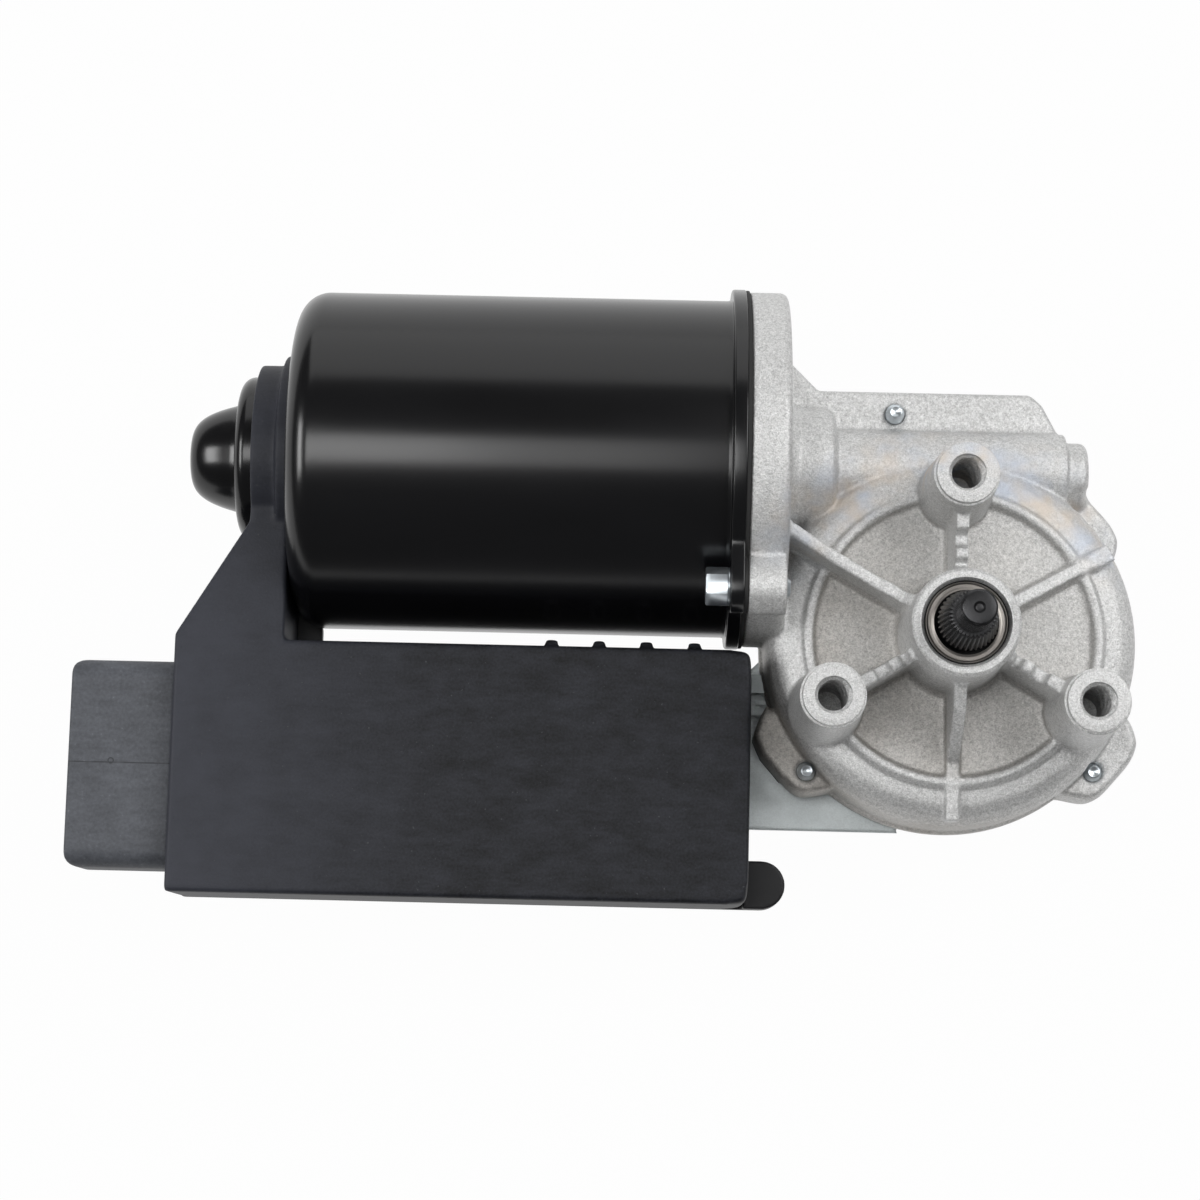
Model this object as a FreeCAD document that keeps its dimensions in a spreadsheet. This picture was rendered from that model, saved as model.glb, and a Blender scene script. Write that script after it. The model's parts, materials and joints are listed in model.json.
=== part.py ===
import FreeCAD, Part
import math
import os
from types import SimpleNamespace
import Sketcher
from FreeCAD import Placement, Rotation, Vector

# Wiper motor lying on its back. Z runs along the output shaft, X points away from the
# motor can, and the origin is on the output shaft's axis in the plane of the three
# mounting bosses. Lengths are in millimetres and angles in degrees.

doc = FreeCAD.newDocument("wiper_motor")

dimensions = {
    # Mounting bosses and the shaft hub
    "boss_circle_radius": 33.5,
    "boss_first_angle": 90,
    "boss_top_radius": 6.85,
    "boss_step_radius": 7.35,
    "boss_base_radius": 8.9,
    "boss_step_height": 1.4,
    "boss_hole_radius": 3.4,
    "boss_hole_depth": 25,
    "hub_top_radius": 12,
    "hub_base_radius": 12.9,
    "wheel_top_room": 6.5,
    "wheel_under_room": 8,
    "ear_above_axis": 1,
    "rim_height": 3.5,
    "rim_lip": 0.8,
    "side_wall": 4.8,
    "face_wall": 4,
    "dome_fillet": 7,
    "wheel_clearance": 2,
    # Raised ring and ribs on the housing face
    "ring_radius": 33.2,
    "ring_width": 3.2,
    "ring_top_width": 1.8,
    "ring_height": 1.7,
    "rib_width": 3,
    "rib_base_width": 4.2,
    "boss_rib_depth": 11.5,
    "boss_rib_pad_depth": 8.5,
    "boss_rib_pad_length": 1.9,
    "flange_rib_depth": 15.5,
    "ear_rib_depth": 20.5,
    "tail_rib_depth": 11,
    # Ears and cover screws
    "screw_circle_step": 1.75,
    "right_ear_angle": 37.9,
    "lower_ear_angle": 40.8,
    "lower_ear_turn": 2.3,
    "top_screw_x": -12.9,
    "top_screw_offset": 13.95,
    "screw_radius": 1.95,
    "screw_tip_height": 1.5,
    "blind_cap": 1.8,
    "screw_head_radius": 4,
    "screw_head_height": 3,
    "screw_hole_gap": 0.15,
    # Worm gear pair
    "gear_module": 1.5,
    "wheel_teeth": 46,
    "wheel_width": 11,
    "worm_pitch_radius": 5.75,
    "worm_turns": 6,
    "worm_bore_radius": 2.6,
    "gear_backlash": 0.36,
    "worm_axis_depth": 39.5,
    "worm_clearance": 0.45,
    "tunnel_wall": 2.3,
    "tunnel_end": 26.7,
    "plateau_width": 19.55,
    "worm_boss_radius": 8,
    "worm_boss_length": 5.2,
    "worm_boss_fillet": 1.8,
    "neck_radius": 15,
    "neck_length": 11.9,
    "neck_fillet": 3,
    # Motor flange of the housing
    "flange_offset": 38.9,
    "flange_thickness": 9,
    "flange_lip": 2.1,
    "flange_fillet": 1.6,
    "flange_ear_reach": 5.5,
    "flange_ear_angle": 44,
    "flange_ear_radius": 6.2,
    "motor_screw_radius": 2.4,
    "gasket_thickness": 0.9,
    # Motor can
    "can_radius": 39.5,
    "can_wall": 2.2,
    "can_shoulder": 10,
    "can_rim_width": 2.7,
    "can_rim_thickness": 3.2,
    "end_recess_width": 6.3,
    "end_recess_depth": 2.1,
    "end_boss_radius": 19.3,
    "end_boss_length": 13.6,
    "end_boss_fillet": 7.2,
    "nose_ledge": 6.6,
    "nose_tip_radius": 6.6,
    "nose_length": 11.9,
    # Armature
    "shaft_radius": 4,
    "journal_radius": 3.5,
    "ball_radius": 2.5,
    "drive_bush_length": 8,
    "worm_bush_length": 6,
    "running_gap": 0.04,
    "seat_gap": 0.1,
    "air_gap": 0.9,
    "core_length": 54,
    "drive_end_room": 6.1,
    "core_slots": 12,
    "slot_depth": 12,
    "slot_width": 6,
    "slot_mouth": 2.4,
    "magnet_thickness": 6.3,
    "magnet_overhang": 4,
    "magnet_arc": 124,
    "winding_length": 9,
    "winding_inset": 3.5,
    "winding_gap": 0.5,
    "commutator_radius": 13,
    "commutator_length": 13,
    "commutator_bars": 12,
    # Brush gear
    "card_gap": 0.7,
    "brush_room": 2.4,
    "card_thickness": 2,
    "card_inset": 7.7,
    "brush_width": 9,
    "brush_depth": 6,
    "brush_length": 12,
    "brush_box_wall": 0.8,
    # Output shaft
    "output_radius": 6,
    "spline_base_radius": 6.7,
    "spline_top_radius": 5.4,
    "spline_start": 1.5,
    "spline_height": 10.5,
    "spline_teeth": 36,
    "spline_tooth_height": 0.45,
    "thread_radius": 4,
    "thread_length": 11.5,
    "thread_chamfer": 0.75,
    "hub_radius": 10,
    "bush_radius": 8.6,
    "bush_length": 9,
    "seal_pocket_radius": 9.3,
    "seal_pocket_depth": 5,
    "seal_washer_inner_radius": 7.2,
    # Cover plate
    "cover_gasket_thickness": 0.8,
    "cover_thickness": 1.6,
    "plate_length": 61.9,
    "plate_lower": 43.2,
    "plate_upper": 10,
    # Electronics module
    "case_overhang": 25.3,
    "case_lap": 1.8,
    "case_can_gap": 5.15,
    "case_width": 57.8,
    "case_top_depth": 22.4,
    "case_wall": 2.4,
    "case_corner": 1.6,
    "case_sharp_corner": 0.8,
    "base_thickness": 3.4,
    "post_radius": 3.4,
    "nub_radius": 5.6,
    "nub_height": 8.8,
    "grommet_radius": 3.2,
    "lead_radius": 0.9,
    "arm_gap": 0.3,
    "arm_thickness": 9,
    "arm_bend_drop": 17.45,
    "arm_top_drop": 13.25,
    "arm_foot_width": 5.8,
    "grommet_drop": 28.25,
    "collar_wall": 2.5,
    "collar_reach": 9.2,
    "collar_gap": 0.3,
    "collar_flange_gap": 1.2,
    "collar_flange_reach": 3.3,
    "shroud_length": 24.2,
    "shroud_upper_inset": 4.6,
    "shroud_lower_inset": 5.45,
    "shroud_step": 6,
    "shroud_wall": 2.6,
    "shroud_corner": 4.4,
    "shroud_depth": 21,
    "pin_width": 1.6,
    "pin_thickness": 0.8,
    "pin_margin": 8,
    "board_thickness": 1.6,
    "board_standoff": 3.5,
}

sheet = doc.addObject("Spreadsheet::Sheet", "Sizes")
for row, (alias, value) in enumerate(dimensions.items(), start=1):
    sheet.set(f"A{row}", alias)
    sheet.set(f"B{row}", str(value))
    sheet.setAlias(f"B{row}", alias)
doc.recompute()


class Size:
    """A length or angle that carries its number and the sheet formula behind it."""

    def __init__(self, number, formula):
        self.number = float(number)
        self.formula = formula

    def __add__(self, other):
        other = sized(other)
        return Size(self.number + other.number, f"({self.formula} + {other.formula})")

    def __radd__(self, other):
        return sized(other) + self

    def __sub__(self, other):
        other = sized(other)
        return Size(self.number - other.number, f"({self.formula} - {other.formula})")

    def __rsub__(self, other):
        return sized(other) - self

    def __mul__(self, other):
        other = sized(other)
        return Size(self.number * other.number, f"({self.formula} * {other.formula})")

    def __rmul__(self, other):
        return sized(other) * self

    def __truediv__(self, other):
        other = sized(other)
        return Size(self.number / other.number, f"({self.formula} / {other.formula})")

    def __rtruediv__(self, other):
        return sized(other) / self

    def __neg__(self):
        return Size(-self.number, f"(0 - {self.formula})")

    def __float__(self):
        return self.number


def sized(value):
    return value if isinstance(value, Size) else Size(value, f"({value})")


def cosine(angle):
    angle = sized(angle)
    return Size(math.cos(math.radians(angle.number)), f"cos({angle.formula} * 1 deg)")


def sine(angle):
    angle = sized(angle)
    return Size(math.sin(math.radians(angle.number)), f"sin({angle.formula} * 1 deg)")


def root(value):
    return Size(math.sqrt(value.number), f"sqrt({value.formula})")


s = SimpleNamespace(**{alias: Size(sheet.get(alias), f"Sizes.{alias}") for alias in dimensions})

rotations = {
    "X": Rotation(Vector(0, 1, 0), 90),
    "Y": Rotation(Vector(1, 0, 0), -90),
    "Z": Rotation(),
}


def tie(item, name, value):
    """Bind one property of a feature to the sheet."""
    value = sized(value)
    if "Sizes." in value.formula:
        item.setExpression(name, value.formula)
    else:
        item.setExpression(name, str(value.number))


def piece(label, origin=(0, 0, 0), group=False):
    """A body that becomes one named node."""
    body = doc.addObject("PartDesign::Body", label)
    body.Label = label
    body.AllowCompound = group
    for axis, value in zip("xyz", origin):
        tie(body, f".Placement.Base.{axis}", value)
    return body


def shape_in(body, kind, at=(0, 0, 0), along="Z", turn=0, cut=False, **measures):
    """Add or cut a box, cylinder, cone, prism or sphere inside a body."""
    sign = "Subtractive" if cut else "Additive"
    feature = body.newObject(f"PartDesign::{sign}{kind}", f"{body.Name}_{kind.lower()}")
    feature.Refine = False
    feature.Placement = Placement(Vector(), Rotation(Vector(0, 0, 1), turn) * rotations[along])
    for axis, value in zip("xyz", at):
        tie(feature, f".Placement.Base.{axis}", value)
    for name, value in measures.items():
        tie(feature, name, value)
    return feature


def box(body, low, high, cut=False):
    """A box between two corners."""
    spans = [sized(b) - a for a, b in zip(low, high)]
    return shape_in(body, "Box", low, cut=cut, Length=spans[0], Width=spans[1], Height=spans[2])


def rod(body, at, radius, length, along="X", cut=False):
    """A cylinder that starts at a point and runs along one axis."""
    return shape_in(body, "Cylinder", at, along=along, cut=cut, Radius=radius, Height=length)


def plane_of(body, role):
    return next(part for part in body.Origin.OriginFeatures if part.Role == role)


def drawn(body, plane, offset):
    """An empty sketch on one of the body's own planes."""
    sketch = body.newObject("Sketcher::SketchObject", f"{body.Name}_sketch")
    sketch.AttachmentSupport = [(plane_of(body, f"{plane}_Plane"), "")]
    sketch.MapMode = "FlatFace"
    for axis, value in zip("xyz", offset):
        tie(sketch, f"AttachmentOffset.Base.{axis}", value)
    return sketch


def place_point(sketch, geometry, vertex, point):
    for kind, value in zip(("DistanceX", "DistanceY"), point):
        value = sized(value)
        index = sketch.addConstraint(Sketcher.Constraint(kind, -1, 1, geometry, vertex, value.number))
        tie(sketch, f"Constraints[{index}]", value)


def outline(body, plane, points, offset=(0, 0, 0)):
    """A closed sketch of straight lines through the given points."""
    sketch = drawn(body, plane, offset)
    corners = [Vector(float(x), float(y), 0) for x, y in points]
    count = len(corners)
    for index in range(count):
        sketch.addGeometry(Part.LineSegment(corners[index], corners[(index + 1) % count]))
    for index in range(count):
        sketch.addConstraint(Sketcher.Constraint("Coincident", index, 2, (index + 1) % count, 1))
    for index, point in enumerate(points):
        place_point(sketch, index, 1, point)
    return sketch


def pad(body, sketch, length, cut=False):
    """Extrude a sketch along its own normal."""
    kind = "Pocket" if cut else "Pad"
    feature = body.newObject(f"PartDesign::{kind}", f"{body.Name}_{kind.lower()}")
    feature.Profile = sketch
    feature.Refine = False
    tie(feature, "Length", length)
    feature.Reversed = cut
    return feature


def turned(body, sketch, axis, angle=360, cut=False):
    """Revolve a sketch about its own horizontal (H) or vertical (V) axis."""
    kind = "Groove" if cut else "Revolution"
    feature = body.newObject(f"PartDesign::{kind}", f"{body.Name}_{kind.lower()}")
    feature.Profile = sketch
    feature.ReferenceAxis = (sketch, [f"{axis}_Axis"])
    tie(feature, "Angle", angle)
    feature.Midplane = True
    feature.Refine = False
    return feature


def rounded(body, radius, picked, chamfer=False):
    """Round or chamfer the edges of the body's tip that the test picks."""
    base = body.Tip
    base.Refine = True
    doc.recompute()
    names = [f"Edge{i}" for i, edge in enumerate(base.Shape.Edges, start=1) if picked(edge)]
    if not names:
        raise RuntimeError(f"{body.Label}: no edge found to round")
    kind = "Chamfer" if chamfer else "Fillet"
    feature = body.newObject(f"PartDesign::{kind}", f"{body.Name}_{kind.lower()}")
    feature.Base = (base, names)
    tie(feature, "Size" if chamfer else "Radius", radius)
    return feature


def is_near(first, second, tolerance=0.02):
    return abs(float(first) - float(second)) < tolerance


def circle_at(radius, z=None, x=None, y=None, centre=(None, None)):
    """Pick round edges of one radius in one plane."""
    def picked(edge):
        if not isinstance(edge.Curve, Part.Circle) or not is_near(edge.Curve.Radius, radius):
            return False
        middle = edge.Curve.Center
        wanted = (x, y, z)
        return all(want is None or is_near(have, want) for have, want in zip(middle, wanted))
    return picked


def straight_at(x=None, y=None, z=None):
    """Pick straight edges that lie wholly at the given coordinates."""
    def picked(edge):
        if not isinstance(edge.Curve, Part.Line):
            return False
        ends = [vertex.Point for vertex in edge.Vertexes]
        wanted = (x, y, z)
        return all(want is None or all(is_near(end[i], want) for end in ends)
                   for i, want in enumerate(wanted))
    return picked


def any_of(*tests):
    return lambda edge: any(test(edge) for test in tests)


def polar(radius, angle):
    return radius * cosine(angle), radius * sine(angle)


# Sizes worked out from the driving dimensions, outwards from the gear pair
s.rim_depth = s.worm_axis_depth + s.wheel_width / 2 + s.wheel_under_room
s.face_depth = s.worm_axis_depth - s.wheel_width / 2 - s.wheel_top_room
s.ear_depth = s.worm_axis_depth - s.ear_above_axis
wheel_pitch_radius = s.gear_module * s.wheel_teeth / 2
wheel_tip_radius = wheel_pitch_radius + s.gear_module
wheel_root_radius = wheel_pitch_radius - s.gear_module * 1.25
worm_tip_radius = s.worm_pitch_radius + s.gear_module
worm_root_radius = s.worm_pitch_radius - s.gear_module * 1.25
worm_lead = s.gear_module * Size(math.pi, "pi")
axis_y = wheel_pitch_radius + s.worm_pitch_radius
axis_z = -s.worm_axis_depth
s.plateau_edge = axis_y + s.plateau_width
s.top_screw_y = axis_y + s.top_screw_offset
motor_axis = (0, axis_y, axis_z)
cavity_radius = wheel_tip_radius + s.wheel_clearance
dome_radius = cavity_radius + s.side_wall
rim_radius = dome_radius + s.rim_lip
s.screw_circle_radius = dome_radius + s.screw_circle_step
rim_z = -s.rim_depth
ear_z = -s.ear_depth
face_z = -s.face_depth
cavity_top = face_z - s.face_wall
cover_z = rim_z - s.cover_gasket_thickness
cover_back = cover_z - s.cover_thickness
tunnel_bore = worm_tip_radius + s.worm_clearance
tunnel_radius = tunnel_bore + s.tunnel_wall
s.neck_end = s.flange_offset - s.neck_length
s.flange_radius = s.can_radius + s.flange_lip
s.flange_ear_circle = s.can_radius + s.flange_ear_reach
flange_right = -s.flange_offset
flange_left = flange_right - s.flange_thickness
mouth_x = flange_left - s.gasket_thickness

# The can is as long as the armature and the brush gear in it
core_right = mouth_x - s.drive_end_room - s.winding_length
core_left = core_right - s.core_length
commutator_left = core_left - s.winding_length - s.winding_gap - s.commutator_length
end_x = commutator_left - s.brush_room - s.card_thickness - s.card_inset
s.can_rim_radius = s.can_radius + s.can_rim_width
s.end_recess_radius = s.end_boss_radius + s.end_recess_width
s.nose_base_radius = s.end_boss_radius - s.nose_ledge
s.core_radius = s.can_radius - s.can_wall - s.seat_gap - s.magnet_thickness - s.air_gap
s.winding_radius = s.core_radius - s.winding_inset
s.card_radius = s.can_radius - s.can_wall - s.card_gap

# The module spans from the housing's flange to beyond the can's nose
s.case_right = -flange_left - s.case_lap
s.case_upper = s.can_radius - axis_y + s.case_can_gap
s.case_lower = s.case_upper + s.case_width
s.case_left = s.case_overhang - end_x
s.arm_right = s.arm_gap - end_x
s.arm_left = s.arm_right + s.arm_thickness
s.arm_bend = axis_y - s.arm_bend_drop
s.arm_top = axis_y - s.arm_top_drop
s.collar_left = s.collar_reach - end_x
s.collar_radius = s.end_boss_radius + s.collar_gap + s.collar_wall
s.collar_flange_left = s.collar_flange_reach - end_x
s.collar_flange_radius = s.end_recess_radius - s.collar_flange_gap
s.plate_left = s.case_right + s.plate_length
s.shroud_left = s.case_left + s.shroud_length
s.shroud_upper = s.case_upper + s.shroud_upper_inset
s.shroud_lower = s.case_lower - s.shroud_lower_inset
s.shroud_top_depth = s.case_top_depth + s.shroud_step
s.pin_pitch = (s.shroud_lower - s.shroud_upper - s.pin_margin * 2 - 0.1) / 5

boss_angles = [s.boss_first_angle + step for step in (0, 120, 240)]
lower_ear_angles = (-s.lower_ear_angle, s.lower_ear_angle + s.lower_ear_turn + 180)
cover_screws = [
    (s.top_screw_x, s.top_screw_y),
    polar(s.screw_circle_radius, s.right_ear_angle),
    polar(s.screw_circle_radius, lower_ear_angles[0]),
    polar(s.screw_circle_radius, lower_ear_angles[1]),
]
blind_screw = cover_screws[1]
through_screws = [cover_screws[0]] + cover_screws[2:]
flange_screws = []
for side in (-1, 1):
    across, up = polar(s.flange_ear_circle, s.flange_ear_angle)
    flange_screws.append((across * side, -up * side))


def lower_ear(side):
    """Corners of one lower ear, on the left (-1) or the right (1)."""
    outer = s.screw_circle_radius
    return [
        (polar(outer, -20)[0] * side, polar(outer, -20)[1]),
        ((outer - 1.2) * side, outer * -0.40),
        ((outer + 0.15) * side, outer * -0.50),
        ((outer - 1.8) * side, outer * -0.60),
        (outer * 0.80 * side, outer * -0.785),
        (outer * 0.745 * side, outer * -0.81),
        (outer * 0.61 * side, outer * -0.785),
        (outer * 0.45 * side, outer * -0.62),
    ]


def right_ear():
    outer = s.screw_circle_radius
    return [
        (outer * 0.50, outer * 0.80),
        (outer * 0.72, outer * 0.81),
        (outer * 0.855, outer * 0.668),
        (outer * 0.905, outer * 0.575),
        (outer * 0.885, outer * 0.478),
        (outer * 0.70, outer * 0.32),
    ]


def tunnel_block(inset=0):
    """Corners of the block beside the worm, from the motor flange to the worm's end."""
    right = s.tunnel_end - inset
    upper = s.plateau_edge - inset
    left = flange_right
    return [
        (left, 8),
        (right, 8),
        (right, upper - 11.5),
        (right - 4.9, upper - 2.4),
        (right - 7.8, upper),
        (left + 8 - inset, upper),
        (left, upper + 8),
    ]


def ear_pads(body, z, height, inset=0):
    for points in (lower_ear(-1), lower_ear(1), right_ear()):
        pad(body, outline(body, "XY", points, (0, 0, z)), height)


def flange(body, left, right, radius, ear_radius, centre=(0, 0, 0), edge=0.3):
    """A round flange across the motor's axis, with an ear at each motor screw."""
    x, y, z = centre
    profile = outline(body, "XY", [
        (left, 0),
        (right, 0),
        (right, radius - edge),
        (right - edge * 0.3, radius - edge * 0.3),
        (right - edge, radius),
        (left, radius),
    ], centre)
    turned(body, profile, "H")
    for across, up in flange_screws:
        half = ear_radius / s.flange_ear_circle
        web = outline(body, "YZ", [
            (y - up * half, z + across * half),
            (y + up * half, z - across * half),
            (y + across + up * half, z + up - across * half),
            (y + across - up * half, z + up + across * half),
        ], (0, 0, left))
        pad(body, web, right - left - edge * 0.3)
        rod(body, (left, y + across, z + up), ear_radius, right - left - edge * 0.3)


def gear_housing():
    """Die-cast gearbox: flanged neck, worm tunnel, domed wheel case, hub, bosses and ribs."""
    body = piece("gear_housing_shell")
    dome = [(0, rim_z), (rim_radius, rim_z), (rim_radius, rim_z + s.rim_height)]
    dome += [(dome_radius, rim_z + s.rim_height + 0.6)]
    dome += bend((dome_radius, face_z), s.dome_fillet, (0, -1), (-1, 0), 4)
    dome += [(0, face_z)]
    turned(body, outline(body, "XZ", dome), "V")
    pad(body, outline(body, "XY", tunnel_block(), (0, 0, rim_z)), s.rim_depth - s.ear_depth)
    ear_pads(body, rim_z, s.rim_depth - s.ear_depth)
    corner = straight_at(z=ear_z)
    rounded(body, 0.9, corner, chamfer=True)
    rod(body, (flange_right, axis_y, axis_z), tunnel_radius, s.flange_offset + s.tunnel_end)
    rod(body, (0, axis_y, axis_z), s.worm_boss_radius, s.tunnel_end + s.worm_boss_length)
    rounded(body, s.worm_boss_fillet * 0.6,
            circle_at(s.worm_boss_radius, x=s.tunnel_end + s.worm_boss_length), chamfer=True)
    neck = outline(body, "XY", [
        (flange_right, 0),
        (flange_right, s.neck_radius + 4),
        (flange_right + 1.2, s.neck_radius + 1.4),
        (flange_right + 3.2, s.neck_radius),
        (-s.neck_end - s.neck_fillet, s.neck_radius),
        (-s.neck_end - s.neck_fillet * 0.3, s.neck_radius - s.neck_fillet * 0.3),
        (-s.neck_end, s.neck_radius - s.neck_fillet),
        (-s.neck_end, 0),
    ], motor_axis)
    turned(body, neck, "H")
    flange(body, flange_left, flange_right, s.flange_radius, s.flange_ear_radius, motor_axis,
           s.flange_fillet)
    raised = piece("housing_raised", group=True)
    hub = outline(raised, "XZ", [
        (0, face_z - 1),
        (s.hub_base_radius + 1.2, face_z - 1),
        (s.hub_base_radius + 1.2, face_z),
        (s.hub_base_radius, face_z + 1.2),
        (s.hub_top_radius, -0.5),
        (s.hub_top_radius - 0.5, 0),
        (0, 0),
    ])
    turned(raised, hub, "V")
    bead = outline(raised, "XZ", [
        (s.ring_radius - s.ring_width / 2, face_z - 1),
        (s.ring_radius + s.ring_width / 2, face_z - 1),
        (s.ring_radius + s.ring_width / 2, face_z),
        (s.ring_radius + s.ring_top_width / 2, face_z + s.ring_height),
        (s.ring_radius - s.ring_top_width / 2, face_z + s.ring_height),
        (s.ring_radius - s.ring_width / 2, face_z),
    ])
    turned(raised, bead, "V")
    ribs(raised)
    for angle in boss_angles:
        x, y = polar(s.boss_circle_radius, angle)
        shape_in(raised, "Cone", (x, y, ear_z), Radius1=s.boss_base_radius,
                 Radius2=s.boss_step_radius, Height=s.ear_depth - s.boss_step_height)
        shape_in(raised, "Cone", (x, y, -s.boss_step_height), Radius1=s.boss_top_radius + 0.1,
                 Radius2=s.boss_top_radius, Height=s.boss_step_height)
    cores = piece("housing_cores", group=True)
    bores(cores)
    joined("gear_housing", [body, raised], cores)


def joined(label, parts, cutter=None):
    """Fuse parts into one node and cut a tool from it."""
    whole = doc.addObject("Part::MultiFuse", label if cutter is None else f"{label}_solid")
    whole.Shapes = parts
    whole.Refine = False
    if cutter is not None:
        solid = whole
        whole = doc.addObject("Part::Cut", label)
        whole.Base = solid
        whole.Tool = cutter
        whole.Refine = True
    whole.Label = label
    loose_nodes.append(whole)
    return whole


def rib(body, angle, crest, width, base_width):
    """A rib along one radius with a wider foot; the crest is given as (radius, height)."""
    first, last = crest[0][0], crest[-1][0]
    floor = face_z - 1.5
    foot = face_z + 1
    for top, thickness in (([(last, foot), (first, foot)], base_width), (crest[::-1], width)):
        sketch = outline(body, "XZ", [(first, floor), (last, floor)] + top)
        sketch.AttachmentOffset = Placement(Vector(), Rotation(Vector(0, 1, 0), 1))
        tie(sketch, "AttachmentOffset.Rotation.Angle", angle)
        pad(body, sketch, thickness).Midplane = True


def ribs(body):
    """Six radial ribs: three to the bosses, one to the flange, one to an ear, one free."""
    inner = s.hub_top_radius - 0.5
    outer = s.boss_circle_radius - s.boss_top_radius + 0.5
    step = s.boss_rib_pad_length
    for angle in boss_angles:
        rib(body, angle, [
            (inner, -s.boss_rib_pad_depth),
            (inner + step, -s.boss_rib_pad_depth),
            (inner + step + 0.5, -s.boss_rib_depth),
            (inner + step * 1.9, -s.boss_rib_depth),
            (inner + step * 1.9 + 0.5, -s.boss_rib_pad_depth - 0.6),
            (inner + step * 3.5, -s.boss_rib_pad_depth - 0.6),
            (inner + step * 3.5 + 0.6, -s.boss_rib_depth),
            (outer - step * 2.9, -s.boss_rib_depth),
            (outer - step * 2.6, -s.boss_rib_pad_depth),
            (outer, -s.boss_rib_pad_depth),
        ], s.rib_width, s.rib_base_width)
    flange_reach = s.flange_offset / cosine(30) + 0.8
    rib(body, s.boss_first_angle + 60, [
        (inner, -s.boss_rib_depth),
        (inner + 1.6, -s.boss_rib_depth - 0.4),
        (inner + 3.4, -s.flange_rib_depth + 0.8),
        (inner + 4.4, -s.flange_rib_depth + 1.6),
        (inner + 7.2, -s.flange_rib_depth + 1.3),
        (s.ring_radius * 0.64, -s.flange_rib_depth),
        (s.ring_radius, -s.flange_rib_depth),
        (flange_reach, -s.boss_rib_depth),
    ], s.rib_width, s.rib_base_width)
    rib(body, s.boss_first_angle - 60, [
        (inner, -s.ear_rib_depth + 1.5),
        (s.ring_radius, face_z + s.ring_height + 0.6),
        (s.screw_circle_radius - 3, face_z + 0.2),
    ], s.rib_width, s.rib_base_width)
    rib(body, s.boss_first_angle + 180, [
        (inner, -s.tail_rib_depth + 1.2),
        (inner + 7, -s.tail_rib_depth - 2),
        (s.ring_radius - 5, face_z + 2.2),
        (s.ring_radius - 4.4, face_z + s.ring_height),
        (dome_radius - 3, face_z + s.ring_height - 0.4),
        (dome_radius - 0.8, face_z - 3.5),
    ], s.rib_width, s.rib_width + 0.2)


def bores(body):
    """Everything that is bored or cored out of the housing."""
    rod(body, (0, 0, rim_z), cavity_radius, s.rim_depth - s.face_depth - s.face_wall, "Z")
    rod(body, (0, 0, cavity_top), s.bush_radius + s.seat_gap, -cavity_top, "Z")
    rod(body, (0, 0, -s.seal_pocket_depth), s.seal_pocket_radius, s.seal_pocket_depth + 1, "Z")
    rod(body, (flange_right, axis_y, axis_z), tunnel_bore,
        s.flange_offset + s.tunnel_end - 7.5)
    rod(body, (0, axis_y, axis_z), worm_bush_radius + s.seat_gap, worm_seat_end)
    rod(body, (flange_left, axis_y, axis_z), drive_bush_radius + s.seat_gap,
        drive_bush_end - flange_left)
    rod(body, (flange_left, axis_y, axis_z), s.flange_radius - 7, s.flange_thickness / 2)
    for angle in boss_angles:
        x, y = polar(s.boss_circle_radius, angle)
        rod(body, (x, y, -s.boss_hole_depth), s.boss_hole_radius, s.boss_hole_depth, "Z")
    for x, y in through_screws:
        rod(body, (x, y, rim_z), s.screw_radius + s.screw_hole_gap,
            s.rim_depth - s.ear_depth + s.screw_tip_height + 0.2, "Z")
    rod(body, (*blind_screw, rim_z), s.screw_radius + s.screw_hole_gap,
        s.rim_depth - s.ear_depth - s.blind_cap, "Z")
    for across, up in flange_screws:
        rod(body, (flange_left, axis_y + across, axis_z + up), s.motor_screw_radius + 0.15,
            s.flange_thickness)
    box(body, (flange_right, -1, rim_z - 8), (0, axis_y + 25, rim_z))
    strip_low = cover_z + 3.4
    box(body, (-rim_radius - 2, -11.5, strip_low - 0.2), (-cavity_radius * 0.9, -6.5, strip_low + 0.8))


worm_bush_radius = s.journal_radius + 2.5
drive_bush_radius = s.shaft_radius + 5.5
drive_bush_end = -s.neck_end - 2.5


def bend(corner, radius, back, ahead, steps=3):
    """Points that round a square corner, from the side behind it to the side ahead."""
    points = []
    for index in range(steps + 1):
        turn = math.radians(90 * index / steps)
        before, after = radius * (1 - math.sin(turn)), radius * (1 - math.cos(turn))
        points.append((corner[0] + before * back[0] + after * ahead[0],
                       corner[1] + before * back[1] + after * ahead[1]))
    return points


def spun(label, points, origin=motor_axis, plane="XY", axis="H"):
    """A body turned from one outline."""
    body = piece(label, origin)
    turned(body, outline(body, plane, points), axis)
    return body


def ring(body, left, right, inner, outer, plane="XY", angle=360):
    """A ring about the body's X axis (plane XY) or its Z axis (plane XZ)."""
    if plane == "XZ":
        points = [(inner, left), (outer, left), (outer, right), (inner, right)]
        return turned(body, outline(body, plane, points), "V", angle)
    points = [(left, inner), (left, outer), (right, outer), (right, inner)]
    return turned(body, outline(body, plane, points), "H", angle)


def repeated(body, features, count, role):
    """Repeat features evenly about one axis of the body."""
    pattern = body.newObject("PartDesign::PolarPattern", f"{body.Name}_pattern")
    pattern.Originals = features
    pattern.Axis = (plane_of(body, f"{role}_Axis"), [""])
    pattern.Angle = 360
    tie(pattern, "Occurrences", count)
    pattern.Refine = False
    body.Tip = pattern
    return pattern


# Output side

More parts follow.
